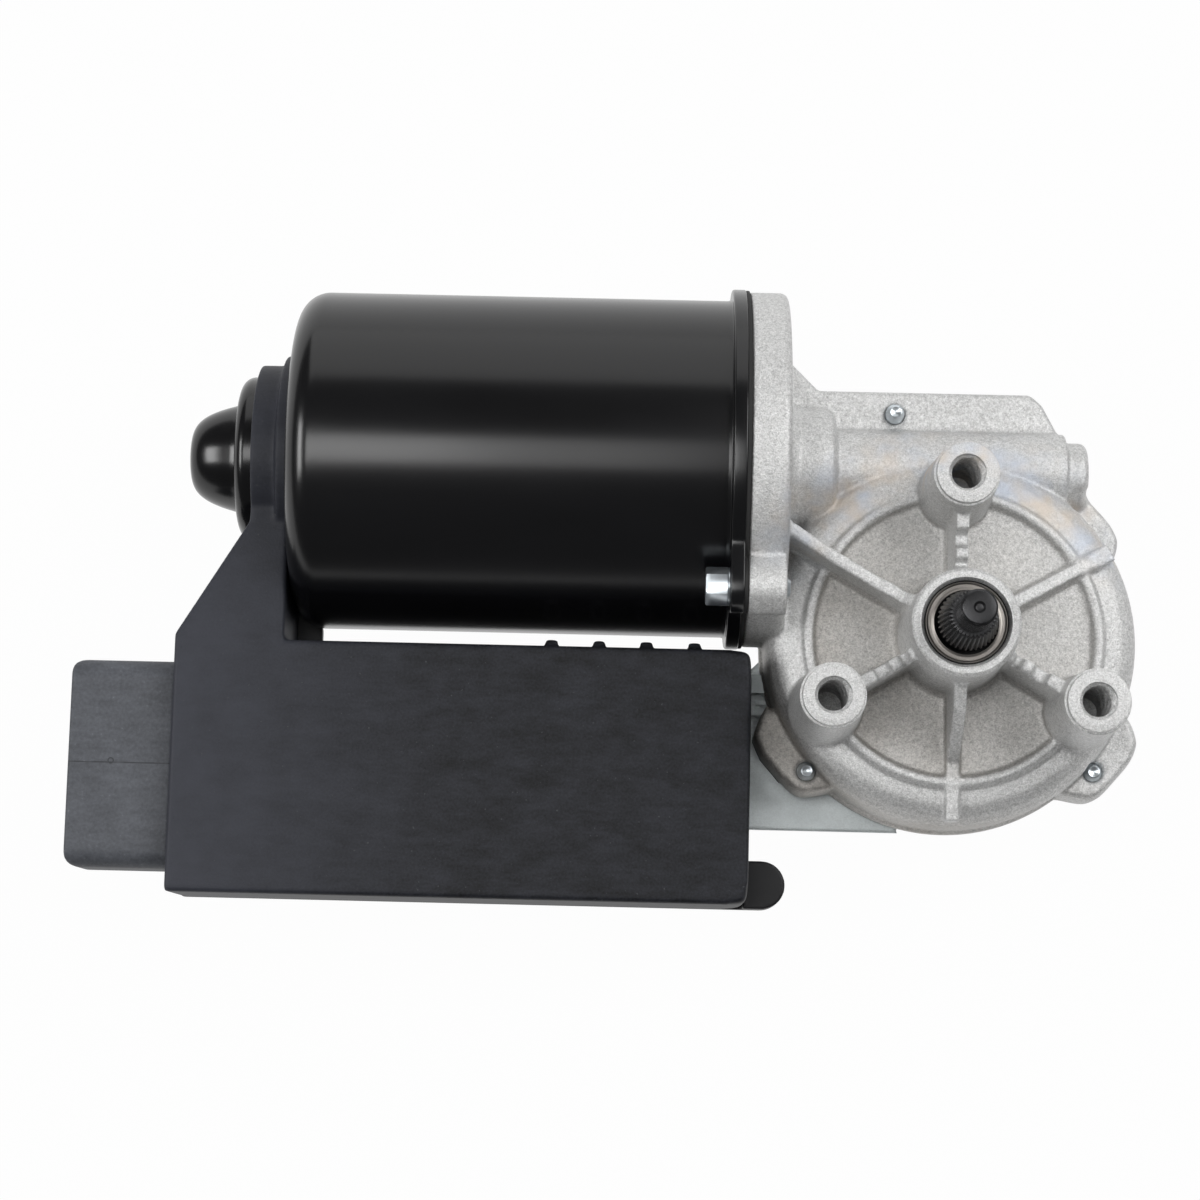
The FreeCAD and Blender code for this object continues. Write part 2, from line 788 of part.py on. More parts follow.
def output_bushes():
    body = piece("output_bushes", group=True)
    bore = s.output_radius + s.running_gap
    ring(body, cavity_top, cavity_top + s.bush_length, bore, s.bush_radius, "XZ")
    top = -s.seal_pocket_depth - 0.6
    ring(body, top - s.bush_length, top, bore, s.bush_radius, "XZ")


def seal_and_washers():
    body = piece("shaft_seal")
    bore = s.output_radius + s.running_gap
    low = -s.seal_pocket_depth
    outer = s.seal_pocket_radius - s.seat_gap
    sketch = outline(body, "XZ", [
        (bore + 0.6, low),
        (outer, low),
        (outer, low + 2.6),
        (s.seal_washer_inner_radius - 0.1, low + 2.6),
        (s.seal_washer_inner_radius - 0.1, -1),
        (bore, -0.9),
        (bore, -1.8),
        (bore + 0.6, -2.4),
    ])
    turned(body, sketch, "V")
    body = piece("seal_washer")
    ring(body, low + 2.6, low + 4, s.seal_washer_inner_radius, outer, "XZ")
    body = piece("thrust_washer")
    ring(body, cavity_top - 0.8, cavity_top, s.output_radius + 0.15, s.hub_radius + 1.5, "XZ")


hub_top = cavity_top - 0.8 - s.running_gap
wheel_top_z = axis_z + s.wheel_width / 2
wheel_low_z = axis_z - s.wheel_width / 2
hub_low_z = wheel_low_z - 2
shaft_low_z = hub_low_z - 2.4


def output_shaft():
    """Shaft with a retaining groove, a splined taper for the wiper arm and a threaded end."""
    spline_top = s.spline_start + s.spline_height
    tip = spline_top + s.thread_length
    body = spun("output_shaft", [
        (0, shaft_low_z),
        (s.output_radius - 0.5, shaft_low_z),
        (s.output_radius, shaft_low_z + 0.5),
        (s.output_radius, hub_low_z - 1.2),
        (s.output_radius - 1, hub_low_z - 1.2),
        (s.output_radius - 1, hub_low_z),
        (s.output_radius, hub_low_z),
        (s.output_radius, s.spline_start - 0.6),
        (s.spline_base_radius, s.spline_start),
        (s.spline_base_radius, s.spline_start + 1),
        (s.spline_top_radius, spline_top),
        (s.thread_radius, spline_top),
        (s.thread_radius, tip - s.thread_chamfer),
        (s.thread_radius - s.thread_chamfer, tip),
        (0, tip),
    ], (0, 0, 0), "XZ", "V")
    # One groove of the spline, cut along the taper and repeated round the shaft
    low, high = s.spline_start - 1, spline_top + 1
    slope = (s.spline_base_radius - s.spline_top_radius) / (s.spline_height - 1)
    depth = s.spline_tooth_height
    half = s.spline_top_radius * (math.pi / 1.25) / s.spline_teeth
    groove = outline(body, "XY", [
        (s.spline_base_radius - depth, -0.02),
        (s.spline_base_radius + 0.4, -half),
        (s.spline_base_radius + 0.4, half),
        (s.spline_base_radius - depth, 0.02),
    ], (0, 0, low))
    upper = outline(body, "XY", [
        (s.spline_top_radius - depth - slope, -0.02),
        (s.spline_top_radius + 0.4, -half),
        (s.spline_top_radius + 0.4, half),
        (s.spline_top_radius - depth - slope, 0.02),
    ], (0, 0, high))
    cutter = body.newObject("PartDesign::SubtractiveLoft", "spline_groove")
    cutter.Profile = groove
    cutter.Sections = [upper]
    cutter.Ruled = True
    cutter.Refine = False
    repeated(body, [cutter], s.spline_teeth, "Z")


def wheel_parts():
    body = piece("wheel_hub")
    ring(body, hub_low_z, hub_top, s.output_radius + 0.02, s.hub_radius, "XZ")
    body = piece("retaining_ring")
    ring(body, hub_low_z - 1.1, hub_low_z, s.output_radius - 0.9, s.output_radius + 2.2, "XZ")
    box(body, (s.output_radius - 2, -1.4, hub_low_z - 2), (s.output_radius + 3, 1.4, hub_low_z + 1), True)
    body = piece("contact_disc")
    ring(body, wheel_low_z - 0.6, wheel_low_z, s.hub_radius + 3, wheel_rim_inner + 2, "XZ")
    box(body, (s.hub_radius + 8, -5, wheel_low_z - 1), (wheel_rim_inner + 3, 5, wheel_low_z + 1), True)


wheel_rim_inner = wheel_root_radius - 4


def involute_flank(points=3):
    """Half-angle of a tooth at a few radii, from its root to its tip, in radians."""
    base = float(wheel_pitch_radius) * math.cos(math.radians(20))
    pitch = float(wheel_pitch_radius)
    half = math.pi / 2 / float(s.wheel_teeth) - float(s.gear_backlash) / 2 / pitch
    start = math.tan(math.acos(base / pitch)) - math.acos(base / pitch)
    flank = []
    low, high = float(wheel_root_radius), float(wheel_tip_radius)
    for index in range(points):
        radius = low + (high - low) * index / (points - 1)
        pressure = math.acos(min(1, base / radius))
        flank.append((radius, half + start - (math.tan(pressure) - pressure)))
    return flank


def toothed_wire(z, twist):
    """Outline of the wheel's teeth at one height."""
    flank = involute_flank()
    teeth = int(float(s.wheel_teeth))
    points = []
    for tooth in range(teeth):
        middle = math.radians(90) + (tooth + 0.5) * 2 * math.pi / teeth + twist
        for radius, half in flank:
            points.append((radius, middle - half))
        for radius, half in reversed(flank):
            points.append((radius, middle + half))
    corners = [Vector(r * math.cos(a), r * math.sin(a), z) for r, a in points]
    return Part.makePolygon(corners + corners[:1])


def worm_wheel():
    """Moulded wheel: a helical toothed rim, a web with eight ribs and a collar."""
    blank = piece("wheel_blank")
    middle = axis_z
    ring(blank, wheel_low_z, wheel_top_z, wheel_rim_inner, wheel_root_radius + 0.3, "XZ")
    ring(blank, middle - 1.5, middle + 1.5, s.hub_radius + 2, wheel_rim_inner + 1, "XZ")
    ring(blank, wheel_low_z, wheel_top_z + 0.6, s.hub_radius + 0.05, s.hub_radius + 4.5, "XZ")
    one = box(blank, (s.hub_radius + 2, -0.9, wheel_low_z + 1.2), (wheel_rim_inner + 1, 0.9, wheel_top_z - 1))
    repeated(blank, [one], 8, "Z")
    low, high = float(wheel_low_z), float(wheel_top_z)
    per_mm = float(worm_lead) / (2 * math.pi * float(s.worm_pitch_radius)) / float(wheel_pitch_radius)
    wires = [toothed_wire(z, (z - float(axis_z)) * per_mm) for z in (low, high)]
    teeth = Part.makeLoft(wires, True, True)
    core = Part.makeCylinder(float(wheel_root_radius) - 1, high - low + 2, Vector(0, 0, low - 1))
    band = doc.addObject("Part::Feature", "wheel_teeth_band")
    band.Shape = teeth.cut(core)
    wheel = doc.addObject("Part::Fuse", "worm_wheel")
    wheel.Label = "worm_wheel"
    wheel.Base = blank
    wheel.Tool = band
    wheel.Refine = False
    loose_nodes.append(wheel)


def park_switch():
    body = piece("contact_carrier")
    top = cover_z + 3.4
    low = cavity_radius * -0.815
    box(body, (-17, low, cover_z), (13, -6, top))
    body = piece("park_contacts", group=True)
    rise = wheel_low_z - 0.7
    for y in (low + 3.5, low + 9.5, low + 15.5):
        leaf = outline(body, "XZ", [
            (-15, top),
            (-9.4, top),
            (3.6, rise - 1.1),
            (6, rise - 0.5),
            (8.4, rise - 1.1),
            (8.6, rise - 0.7),
            (6, rise),
            (3.4, rise - 0.7),
            (-9.7, top + 0.4),
            (-15, top + 0.4),
        ], (0, 0, -y - 1.2))
        pad(body, leaf, 2.4)
    body = piece("park_lead_strip")
    box(body, (-s.case_right - 14, -11.2, top), (-8, -6.8, top + 0.5))


def cover_shape(body, z, thickness, radius, extended):
    """The closed outline shared by the cover plate and its gasket."""
    rod(body, (0, 0, z), radius, thickness, "Z")
    pad(body, outline(body, "XY", tunnel_block(0.6), (0, 0, z)), thickness)
    ear_pads(body, z, thickness)
    if extended:
        pad(body, outline(body, "XY", [
            (-30, s.plate_upper),
            (-44, -4),
            (-50, -s.plate_upper),
            (-s.plate_left, -s.plate_upper),
            (-s.plate_left, -s.plate_lower),
            (-10, -s.plate_lower),
        ], (0, 0, z)), thickness)
    box(body, (flange_left - 2, axis_y - s.flange_radius - 1.25, z),
        (flange_right + 0.3, axis_y + s.flange_radius, z + thickness), True)


def cover_parts():
    body = piece("cover_gasket")
    cover_shape(body, cover_z, s.cover_gasket_thickness, rim_radius - 0.8, False)
    rod(body, (0, 0, cover_z), cavity_radius + 0.4, s.cover_gasket_thickness, "Z", cut=True)
    for x, y in cover_screws:
        rod(body, (x, y, cover_z), s.screw_radius + 0.3, s.cover_gasket_thickness, "Z", cut=True)
    body = piece("cover_plate")
    cover_shape(body, cover_back, s.cover_thickness, rim_radius - 0.6, True)
    for x, y in cover_screws + module_screws:
        rod(body, (x, y, cover_back), s.screw_radius + 0.1, s.cover_thickness, "Z", cut=True)
    body = piece("cover_screws", group=True)
    for x, y in cover_screws:
        tip = ear_z - s.blind_cap - 0.4 if (x, y) == blind_screw else ear_z + s.screw_tip_height
        rod(body, (x, y, cover_back), s.screw_radius, tip - cover_back, "Z")
        rod(body, (x, y, cover_back - s.screw_head_height), s.screw_head_radius, s.screw_head_height, "Z")
    body = piece("module_screws", group=True)
    for x, y in module_screws:
        rod(body, (x, y, cover_back), s.screw_radius, board_low - 0.9 - cover_back, "Z")
        rod(body, (x, y, cover_back - s.screw_head_height), s.screw_head_radius, s.screw_head_height, "Z")


# Worm shaft and armature

def worm_facets():
    """The worm's single right-hand thread as flat facets, closed at both ends."""
    steps = 16
    lead = float(worm_lead)
    low, high = float(worm_root_radius) - 0.35, float(worm_tip_radius)
    slope = math.tan(math.radians(20))
    pitch = float(s.worm_pitch_radius)
    crest_half = lead / 4 - slope * (high - pitch) - float(s.gear_backlash) * 0.25
    foot_half = crest_half + slope * (high - low)
    turns = float(s.worm_turns)
    sections = []
    count = int(round(turns * steps))
    for index in range(count + 1):
        angle = math.pi + 2 * math.pi * index / steps
        middle = (index / steps - turns / 2) * lead
        direction = Vector(0, math.cos(angle), math.sin(angle))
        corners = [(low, -foot_half), (high, -crest_half), (high, crest_half), (low, foot_half)]
        sections.append([direction * r + Vector(middle + x, 0, 0) for r, x in corners])
    faces = []
    for first, second in zip(sections, sections[1:]):
        for k in range(4):
            a, b = first[k], first[(k + 1) % 4]
            c, d = second[(k + 1) % 4], second[k]
            for triangle in ((a, b, c), (a, c, d)):
                faces.append(Part.Face(Part.makePolygon(list(triangle) + [triangle[0]])))
    for end in (sections[0], sections[-1]):
        faces.append(Part.Face(Part.makePolygon(end + [end[0]])))
    shell = Part.makeShell(faces)
    shell.sewShape()
    solid = Part.makeSolid(shell)
    if solid.Volume < 0:
        solid.reverse()
    return solid


def armature_shaft():
    """Shaft from the rear bush to the thrust ball, with the worm cut on it."""
    worm_half = worm_lead * (s.worm_turns / 2 + 0.7)
    tail = s.tunnel_end - 1
    core = spun("armature_shaft_core", [
        (shaft_rear_x, 0),
        (shaft_rear_x, s.shaft_radius - 0.6),
        (shaft_rear_x + 0.6, s.shaft_radius),
        (-worm_half - 1.2, s.shaft_radius),
        (-worm_half, worm_root_radius),
        (worm_half, worm_root_radius),
        (worm_half + 0.4, s.journal_radius),
        (tail - 0.5, s.journal_radius),
        (tail, s.journal_radius - 0.5),
        (tail, 0),
    ])
    shape_in(core, "Sphere", (tail + 0.6, 0, 0), cut=True, Radius=s.ball_radius + 0.05)
    thread = doc.addObject("Part::Feature", "worm_thread")
    thread.Shape = worm_facets()
    tie_placement(thread)
    shaft = doc.addObject("Part::Fuse", "armature_shaft")
    shaft.Label = "armature_shaft"
    shaft.Base = core
    shaft.Tool = thread
    shaft.Refine = False
    loose_nodes.append(shaft)
    ball = piece("thrust_ball", motor_axis)
    half = [(tail + 0.6 - s.ball_radius * cosine(22.5 * k), s.ball_radius * sine(22.5 * k)) for k in range(9)]
    turned(ball, outline(ball, "XY", half), "H")


def tie_placement(item):
    for axis, value in zip("xyz", motor_axis):
        tie(item, f".Placement.Base.{axis}", value)


def armature_parts():
    body = piece("armature_core", motor_axis)
    ring(body, core_left, core_right, s.shaft_radius + 0.02, s.core_radius)
    depth = s.slot_depth
    slot = outline(body, "YZ", [
        (s.core_radius + 1, -s.slot_mouth / 2),
        (s.core_radius + 1, s.slot_mouth / 2),
        (s.core_radius - 1.3, s.slot_mouth / 2),
        (s.core_radius - 2.4, s.slot_width / 2),
        (s.core_radius - depth + 1, s.slot_width * 0.3),
        (s.core_radius - depth, 0),
        (s.core_radius - depth + 1, s.slot_width * -0.3),
        (s.core_radius - 2.4, s.slot_width / -2),
        (s.core_radius - 1.3, -s.slot_mouth / 2),
    ], (0, 0, core_left - 1))
    slot_cut = pad(body, slot, core_right - core_left + 2, cut=True)
    repeated(body, [slot_cut], s.core_slots, "X")
    body = piece("armature_windings", motor_axis, group=True)
    inner = s.shaft_radius + 2.5
    for left, right in ((core_left - s.winding_length, core_left), (core_right, core_right + s.winding_length)):
        outward = left if left.number < core_left.number else right
        flat = right if outward is left else left
        step = 2.5 if outward is left else -2.5
        turned(body, outline(body, "XY", [
            (flat, inner),
            (flat, s.winding_radius + 1.2),
            (flat + (outward - flat) * 0.5, s.winding_radius + 1),
            (outward + step * 0.4, s.winding_radius - 2),
            (outward, s.winding_radius - 6),
            (outward, inner + 2),
            (outward + step, inner),
        ]), "H")
    wires = outline(body, "YZ", [
        (s.core_radius - 2.6, s.slot_width / 2 - 0.35),
        (s.core_radius - depth + 1.3, s.slot_width * 0.3 - 0.25),
        (s.core_radius - depth + 1.3, s.slot_width * -0.3 + 0.25),
        (s.core_radius - 2.6, s.slot_width / -2 + 0.35),
    ], (0, 0, core_left - 0.5))
    bundle = pad(body, wires, core_right - core_left + 1)
    repeated(body, [bundle], s.core_slots, "X")
    body = piece("commutator_bars", motor_axis, group=True)
    left, right = commutator_left, commutator_left + s.commutator_length
    bar_angle = 360 / s.commutator_bars - 3
    bar = ring(body, left, right, s.commutator_radius - 5, s.commutator_radius, angle=bar_angle)
    repeated(body, [bar], s.commutator_bars, "X")
    body = piece("commutator_hub", motor_axis)
    ring(body, left - 0.5, right + 0.4, s.shaft_radius + 0.02, s.commutator_radius - 5.05)


# Motor housing parts

def motor_can():
    body = piece("motor_can", motor_axis)
    outer, inner = s.can_radius, s.can_radius - s.can_wall
    boss_x = end_x - s.end_boss_length
    nose_x = boss_x - s.nose_length
    recess_x = end_x + s.end_recess_depth
    left, right, up, down = (-1, 0), (1, 0), (0, 1), (0, -1)
    profile = [(nose_x, 0)]
    profile += [(nose_x, s.nose_tip_radius - 3), (nose_x + 0.9, s.nose_tip_radius - 0.7)]
    profile += [(nose_x + 3.2, s.nose_tip_radius + 1.5), (boss_x, s.nose_base_radius)]
    profile += bend((boss_x, s.end_boss_radius), s.end_boss_fillet - 1.5, down, right)
    profile += [(recess_x, s.end_boss_radius), (recess_x, s.end_recess_radius)]
    profile += [(end_x, s.end_recess_radius + 0.5)]
    profile += bend((end_x, outer), s.can_shoulder, down, right, 4)
    profile += bend((mouth_x - s.can_rim_thickness, outer), 0.4, left, up, 1)
    profile += [(mouth_x - s.can_rim_thickness, s.can_rim_radius - 0.5)]
    profile += [(mouth_x - s.can_rim_thickness + 0.5, s.can_rim_radius), (mouth_x, s.can_rim_radius)]
    profile += [(mouth_x, 0)]
    turned(body, outline(body, "XY", profile), "H")
    for across, up_z in flange_screws:
        half = s.flange_ear_radius / s.flange_ear_circle
        web = outline(body, "YZ", [
            (-up_z * half + across * 0.6, across * half + up_z * 0.6),
            (up_z * half + across * 0.6, -across * half + up_z * 0.6),
            (across + up_z * half, up_z - across * half),
            (across - up_z * half, up_z + across * half),
        ], (0, 0, mouth_x - s.can_rim_thickness))
        pad(body, web, s.can_rim_thickness)
        rod(body, (mouth_x - s.can_rim_thickness, across, up_z), s.flange_ear_radius, s.can_rim_thickness)
    hollow = [(nose_x + 2.2, 0), (nose_x + 2.2, s.nose_tip_radius - 1.8)]
    hollow += [(boss_x - 3.4, rear_bush_radius - 1.2), (boss_x - 1.6, rear_bush_radius + s.seat_gap)]
    hollow += [(boss_x + 2.2, rear_bush_radius + s.seat_gap)]
    hollow += bend((boss_x + 2.2, s.end_boss_radius - s.can_wall), 4.3, down, right, 2)
    hollow += [(recess_x + s.can_wall, s.end_boss_radius - s.can_wall)]
    hollow += [(recess_x + s.can_wall, s.end_recess_radius + 2.4), (end_x + s.can_wall, s.end_recess_radius + 2.9)]
    hollow += bend((end_x + s.can_wall, inner), s.can_shoulder - s.can_wall, down, right, 4)
    hollow += [(mouth_x, inner), (mouth_x, 0)]
    turned(body, outline(body, "XY", hollow), "H", cut=True)
    for across, up_z in flange_screws:
        rod(body, (mouth_x - s.can_rim_thickness, across, up_z), s.motor_screw_radius + 0.15,
            s.can_rim_thickness, cut=True)
    rod(body, (end_x - 1, grommet_y - axis_y, 0), s.grommet_radius + 0.05, 8, cut=True)


def motor_seals_and_screws():
    body = piece("can_gasket", motor_axis)
    flange(body, mouth_x, flange_left, s.flange_radius + 0.4, s.flange_ear_radius - 0.4)
    rod(body, (mouth_x, 0, 0), s.can_radius - s.can_wall, s.gasket_thickness, cut=True)
    for across, up in flange_screws:
        rod(body, (mouth_x, across, up), s.motor_screw_radius + 0.2, s.gasket_thickness, cut=True)
    body = piece("motor_screws", motor_axis, group=True)
    head_x = mouth_x - s.can_rim_thickness
    for across, up in flange_screws:
        rod(body, (head_x, across, up), s.motor_screw_radius, flange_right + 0.4 - head_x)
        shape_in(body, "Prism", (head_x - 5.4, across, up), along="X", Circumradius=4.35, Height=5.4)


def field_parts():
    body = piece("field_magnets", motor_axis, group=True)
    outer = s.can_radius - s.can_wall - s.seat_gap
    left = core_left - s.magnet_overhang
    right = core_right + s.magnet_overhang
    for side in (1, -1):
        ring(body, left, right, (outer - s.magnet_thickness) * side, outer * side, angle=s.magnet_arc)
    body = piece("magnet_clips", motor_axis, group=True)
    for side in (1, -1):
        turned(body, outline(body, "XZ", [
            (left + 3, (outer - 0.9) * side),
            (left + 3, outer * side),
            (right - 3, outer * side),
            (right - 3, (outer - 0.9) * side),
        ]), "H", 170 - s.magnet_arc)


def bearings():
    body = piece("rear_bush", motor_axis)
    boss_x = end_x - s.end_boss_length
    bore = s.shaft_radius + s.running_gap
    left = boss_x - 1.6
    turned(body, outline(body, "XY", [
        (left, bore),
        (left, rear_bush_radius - 1),
        (left + 1, rear_bush_radius),
        (left + 8.4, rear_bush_radius),
        (left + 8.4, bore),
    ]), "H")
    body = piece("bush_retainer", motor_axis)
    ring(body, boss_x + 5.8, boss_x + 6.6, rear_bush_radius + 0.05, s.end_boss_radius - s.can_wall - 0.5)
    body = piece("drive_end_bush", motor_axis)
    ring(body, drive_bush_end - s.drive_bush_length, drive_bush_end, bore, drive_bush_radius)
    body = piece("worm_end_bush", motor_axis)
    ring(body, worm_bush_end - s.worm_bush_length, worm_bush_end, s.journal_radius + s.running_gap, worm_bush_radius)
    body = piece("thrust_pad", motor_axis)
    pad_x = s.tunnel_end - 0.4 + s.ball_radius + s.running_gap
    rod(body, (pad_x, 0, 0), worm_bush_radius - 0.2, worm_seat_end - pad_x)


def brush_gear():
    card_left = end_x + s.card_inset
    card_right = card_left + s.card_thickness
    body = piece("brush_card", motor_axis)
    ring(body, card_left, card_right, s.commutator_radius + 1.5, s.card_radius)
    holders = piece("brush_holders", motor_axis, group=True)
    brushes = piece("brushes", motor_axis, group=True)
    springs = piece("brush_springs", motor_axis, group=True)
    wall = s.brush_box_wall
    low = s.commutator_radius + s.running_gap
    first = card_right + wall + 0.1
    half = s.brush_depth / 2
    for side in (1, -1):
        def span(inner, outer):
            ends = sorted((inner * side, outer * side), key=float)
            return ends
        y0, y1 = span(low + 1.5, low + 17)
        box(holders, (card_right, y0, -half - wall - 0.1), (first + s.brush_width + wall + 0.1, y1, half + wall + 0.1))
        box(brushes, *corners_of(first, first + s.brush_width, span(low, low + s.brush_length), half))
    for side in (1, -1):
        ends = sorted((low * side, (low + 17 - wall) * side), key=float)
        box(holders, (first - 0.1, ends[0], -half - 0.1), (first + s.brush_width + 0.1, ends[1], half + 0.1), True)
        back, rest = low + s.brush_length, low + 17 - wall
        thick = 0.35
        rise = (rest - thick - back) / 4
        middle = first + s.brush_width / 2
        swings = [middle + swing for swing in (-3, 3, -3, 3, -3)]
        band = [(x, (back + rise * index) * side) for index, x in enumerate(swings)]
        band += [(x, (back + rise * index + thick) * side) for index, x in enumerate(swings)][::-1]
        pad(springs, outline(springs, "XY", band, (0, 0, -2)), 4)
    body = piece("chokes", motor_axis, group=True)
    for side in (1, -1):
        rod(body, (card_right + 3, -9, side * 22), 2.8, 18, "Y")
        box(body, (card_right, -6, side * 22 - 1.2), (card_right + 1.2, 6, side * 22 + 1.2))
    body = piece("circuit_breaker", motor_axis)
    box(body, (card_right, 12, 14), (card_right + 9, 24, 19))
    box(body, (card_right + 9, 14, 15.5), (card_right + 10.5, 22, 17.5))


def corners_of(left, right, ends, half):
    return (left, ends[0], -half), (right, ends[1], half)


# Electronics module

def arm_outline(inset, upper_gap=0):
    """Corners of the hollow arm that joins the module to the can's nose."""
    left, right = -s.case_left + inset, -s.arm_right - inset
    slant = inset * 0.6
    return [
        (left, -s.case_upper - 4),
        (right, -s.case_upper - 4),
        (right, s.arm_top - inset),
        (-s.collar_left + inset * 0.4, s.arm_top - inset),
        (-s.arm_left + inset, s.arm_bend - slant),
        (left, -3.6 - slant),
    ]


def module_case():
    body = piece("module_case")
    wall = s.case_wall
    low = board_base
    top = -s.case_top_depth
    box(body, (-s.case_left, -s.case_lower, low), (-s.case_right, -s.case_upper, top))
    rounded(body, s.case_corner, any_of(
        straight_at(x=-s.case_right, y=-s.case_lower), straight_at(x=-s.case_right, y=-s.case_upper)))
    rounded(body, s.case_sharp_corner, straight_at(x=-s.case_left, y=-s.case_lower))
    pad(body, outline(body, "XY", arm_outline(0), (0, 0, low)), top - low)
    rounded(body, 1, straight_at(z=top))
    rod(body, (-s.collar_left, axis_y, axis_z), s.collar_radius, s.collar_left - s.collar_flange_left + 0.5)
    rod(body, (-s.collar_flange_left, axis_y, axis_z), s.collar_flange_radius,
        s.collar_flange_left + end_x + s.end_recess_depth)
    for x in latch_places:
        box(body, (x, -s.case_upper - 1, -34), (x + 2.8, -s.case_upper + 1.7, -25.4))
    box(body, (-s.case_left + wall, -s.case_lower + wall, low), (-s.case_right - wall, -s.case_upper - wall, top - wall), True)
    pad(body, outline(body, "XY", arm_outline(wall), (0, 0, low)), top - wall - low, cut=True)
    rod(body, (-s.collar_left - 8, axis_y, axis_z), s.end_boss_radius + s.collar_gap, s.collar_reach + 14, cut=True)
    box(body, (-s.case_left - 1, tongue_low[0] - 0.1, tongue_low[1] - 0.1),
        (-s.case_left + wall + 1, tongue_high[0] + 0.1, tongue_high[1] + 0.1), True)
    rod(body, (-s.arm_right - wall - 1, grommet_y, axis_z), s.grommet_radius + 0.05, wall + 2, cut=True)
    top_strip = cover_z + 3.4
    box(body, (-s.case_right - wall - 1, -11.4, top_strip - 0.1), (-s.case_right + 1, -6.6, top_strip + 0.7), True)
    rod(body, (nub_x, nub_y, board_base - 1), s.nub_radius + 0.15, s.nub_top - board_base + 1.2, "Z", cut=True)
    box(body, (nub_web - 0.15, nub_y - s.nub_radius - 0.15, board_base - 1),
        (nub_x, nub_y + s.nub_radius + 0.15, s.nub_top + 0.2), True)


def module_base():
    body = piece("module_base")
    box(body, (-s.case_left, -s.case_lower, cover_z), (-s.case_right, -s.case_upper, board_base))
    pad(body, outline(body, "XY", arm_outline(0), (0, 0, cover_z)), s.base_thickness)
    foot = -s.arm_right - 1.5
    pad(body, outline(body, "XY", [
        (foot, -s.case_upper - 2),
        (foot + 1.5 + s.arm_foot_width, -s.case_upper - 2),
        (foot + 1.5 + s.arm_foot_width, axis_y - s.can_radius + 1.4),
        (foot + 4.4, axis_y - s.can_radius + 3.4),
        (foot + 2.4, axis_y - s.can_radius + 7),
        (foot + 1.6, axis_y - s.can_radius + 13),
        (foot, axis_y - s.can_radius + 13),
    ], (0, 0, cover_z)), s.base_thickness)
    rod(body, (-s.collar_left - 8, axis_y, axis_z), s.collar_flange_radius + 0.2, s.collar_reach + 14, cut=True)
    rod(body, (nub_x, nub_y, cover_z), s.nub_radius, s.nub_top - cover_z, "Z")
    box(body, (nub_web, nub_y - s.nub_radius, cover_z), (nub_x, nub_y + s.nub_radius, s.nub_top))
    for x, y in board_posts + module_screws:
        rod(body, (x, y, board_base - 1), s.post_radius, board_low - board_base + 1, "Z")
    for x, y in module_screws:
        rod(body, (x, y, cover_z), s.screw_radius + 0.05, board_low - 0.8 - cover_z, "Z", cut=True)


def connector():
    body = piece("connector_shroud")
    wall = s.shroud_wall
    left, right = -s.shroud_left, -s.case_left
    low, high = -s.shroud_top_depth - s.shroud_height, -s.shroud_top_depth
    box(body, (left, -s.shroud_lower, low), (right, -s.shroud_upper, high))
    rounded(body, s.shroud_corner, any_of(
        *[straight_at(y=y, z=z) for y in (-s.shroud_lower, -s.shroud_upper) for z in (low, high)]))
    box(body, (right - 0.01, tongue_low[0], tongue_low[1]), (right + 2.2, tongue_high[0], tongue_high[1]))
    box(body, (left, -s.shroud_lower + wall, low + wall),
        (left + s.shroud_depth, -s.shroud_upper - wall, high - wall), True)
    pins = piece("connector_pins", group=True)
    for row, z in enumerate((pin_rows[0], pin_rows[1])):
        reach = -s.case_left + 6 + row * 5
        for index in range(6):
            y = -s.shroud_lower + s.pin_margin + s.pin_pitch * index
            y_end = y + s.pin_width
            box(body, (left + s.shroud_depth - 1, y - 0.05, z - 0.05),
                (right + 3, y_end + 0.05, z + s.pin_thickness + 0.05), True)
            box(pins, (left + 5, y, z), (reach + 0.8, y_end, z + s.pin_thickness))
            box(pins, (reach, y, board_top), (reach + 0.8, y_end, z + 0.1))


def electronics():
    body = piece("circuit_board")
    box(body, (-s.case_left + 4, -s.case_lower + 4, board_low), (-s.case_right - 5, -s.case_upper - 4, board_top))
    body = piece("relays", group=True)
    low = 12.6 - s.case_lower
    for x in (board_middle - 15.8, board_middle + 10.2):
        box(body, (x, low, board_top), (x + 20, low + 16, board_top + 16))
        box(body, (x + 1, low + 1, board_top + 15), (x + 19, low + 15, board_top + 16.6))
    body = piece("filter_capacitor")
    x, y = board_middle + 18.2, -s.case_upper - 16.6
    rod(body, (x, y, board_top + 5.5), 5.5, 20)
    box(body, (x + 2, y - 3, board_top), (x + 18, y + 3, board_top + 3))
    body = piece("control_chip")
    x, y = 26.8 - s.case_left, 17.6 - s.case_lower
    box(body, (x + 1, y, board_top + 0.1), (x + 13, y + 12, board_top + 1.8))
    box(body, (x, y + 1, board_top), (x + 14, y + 11, board_top + 0.8))


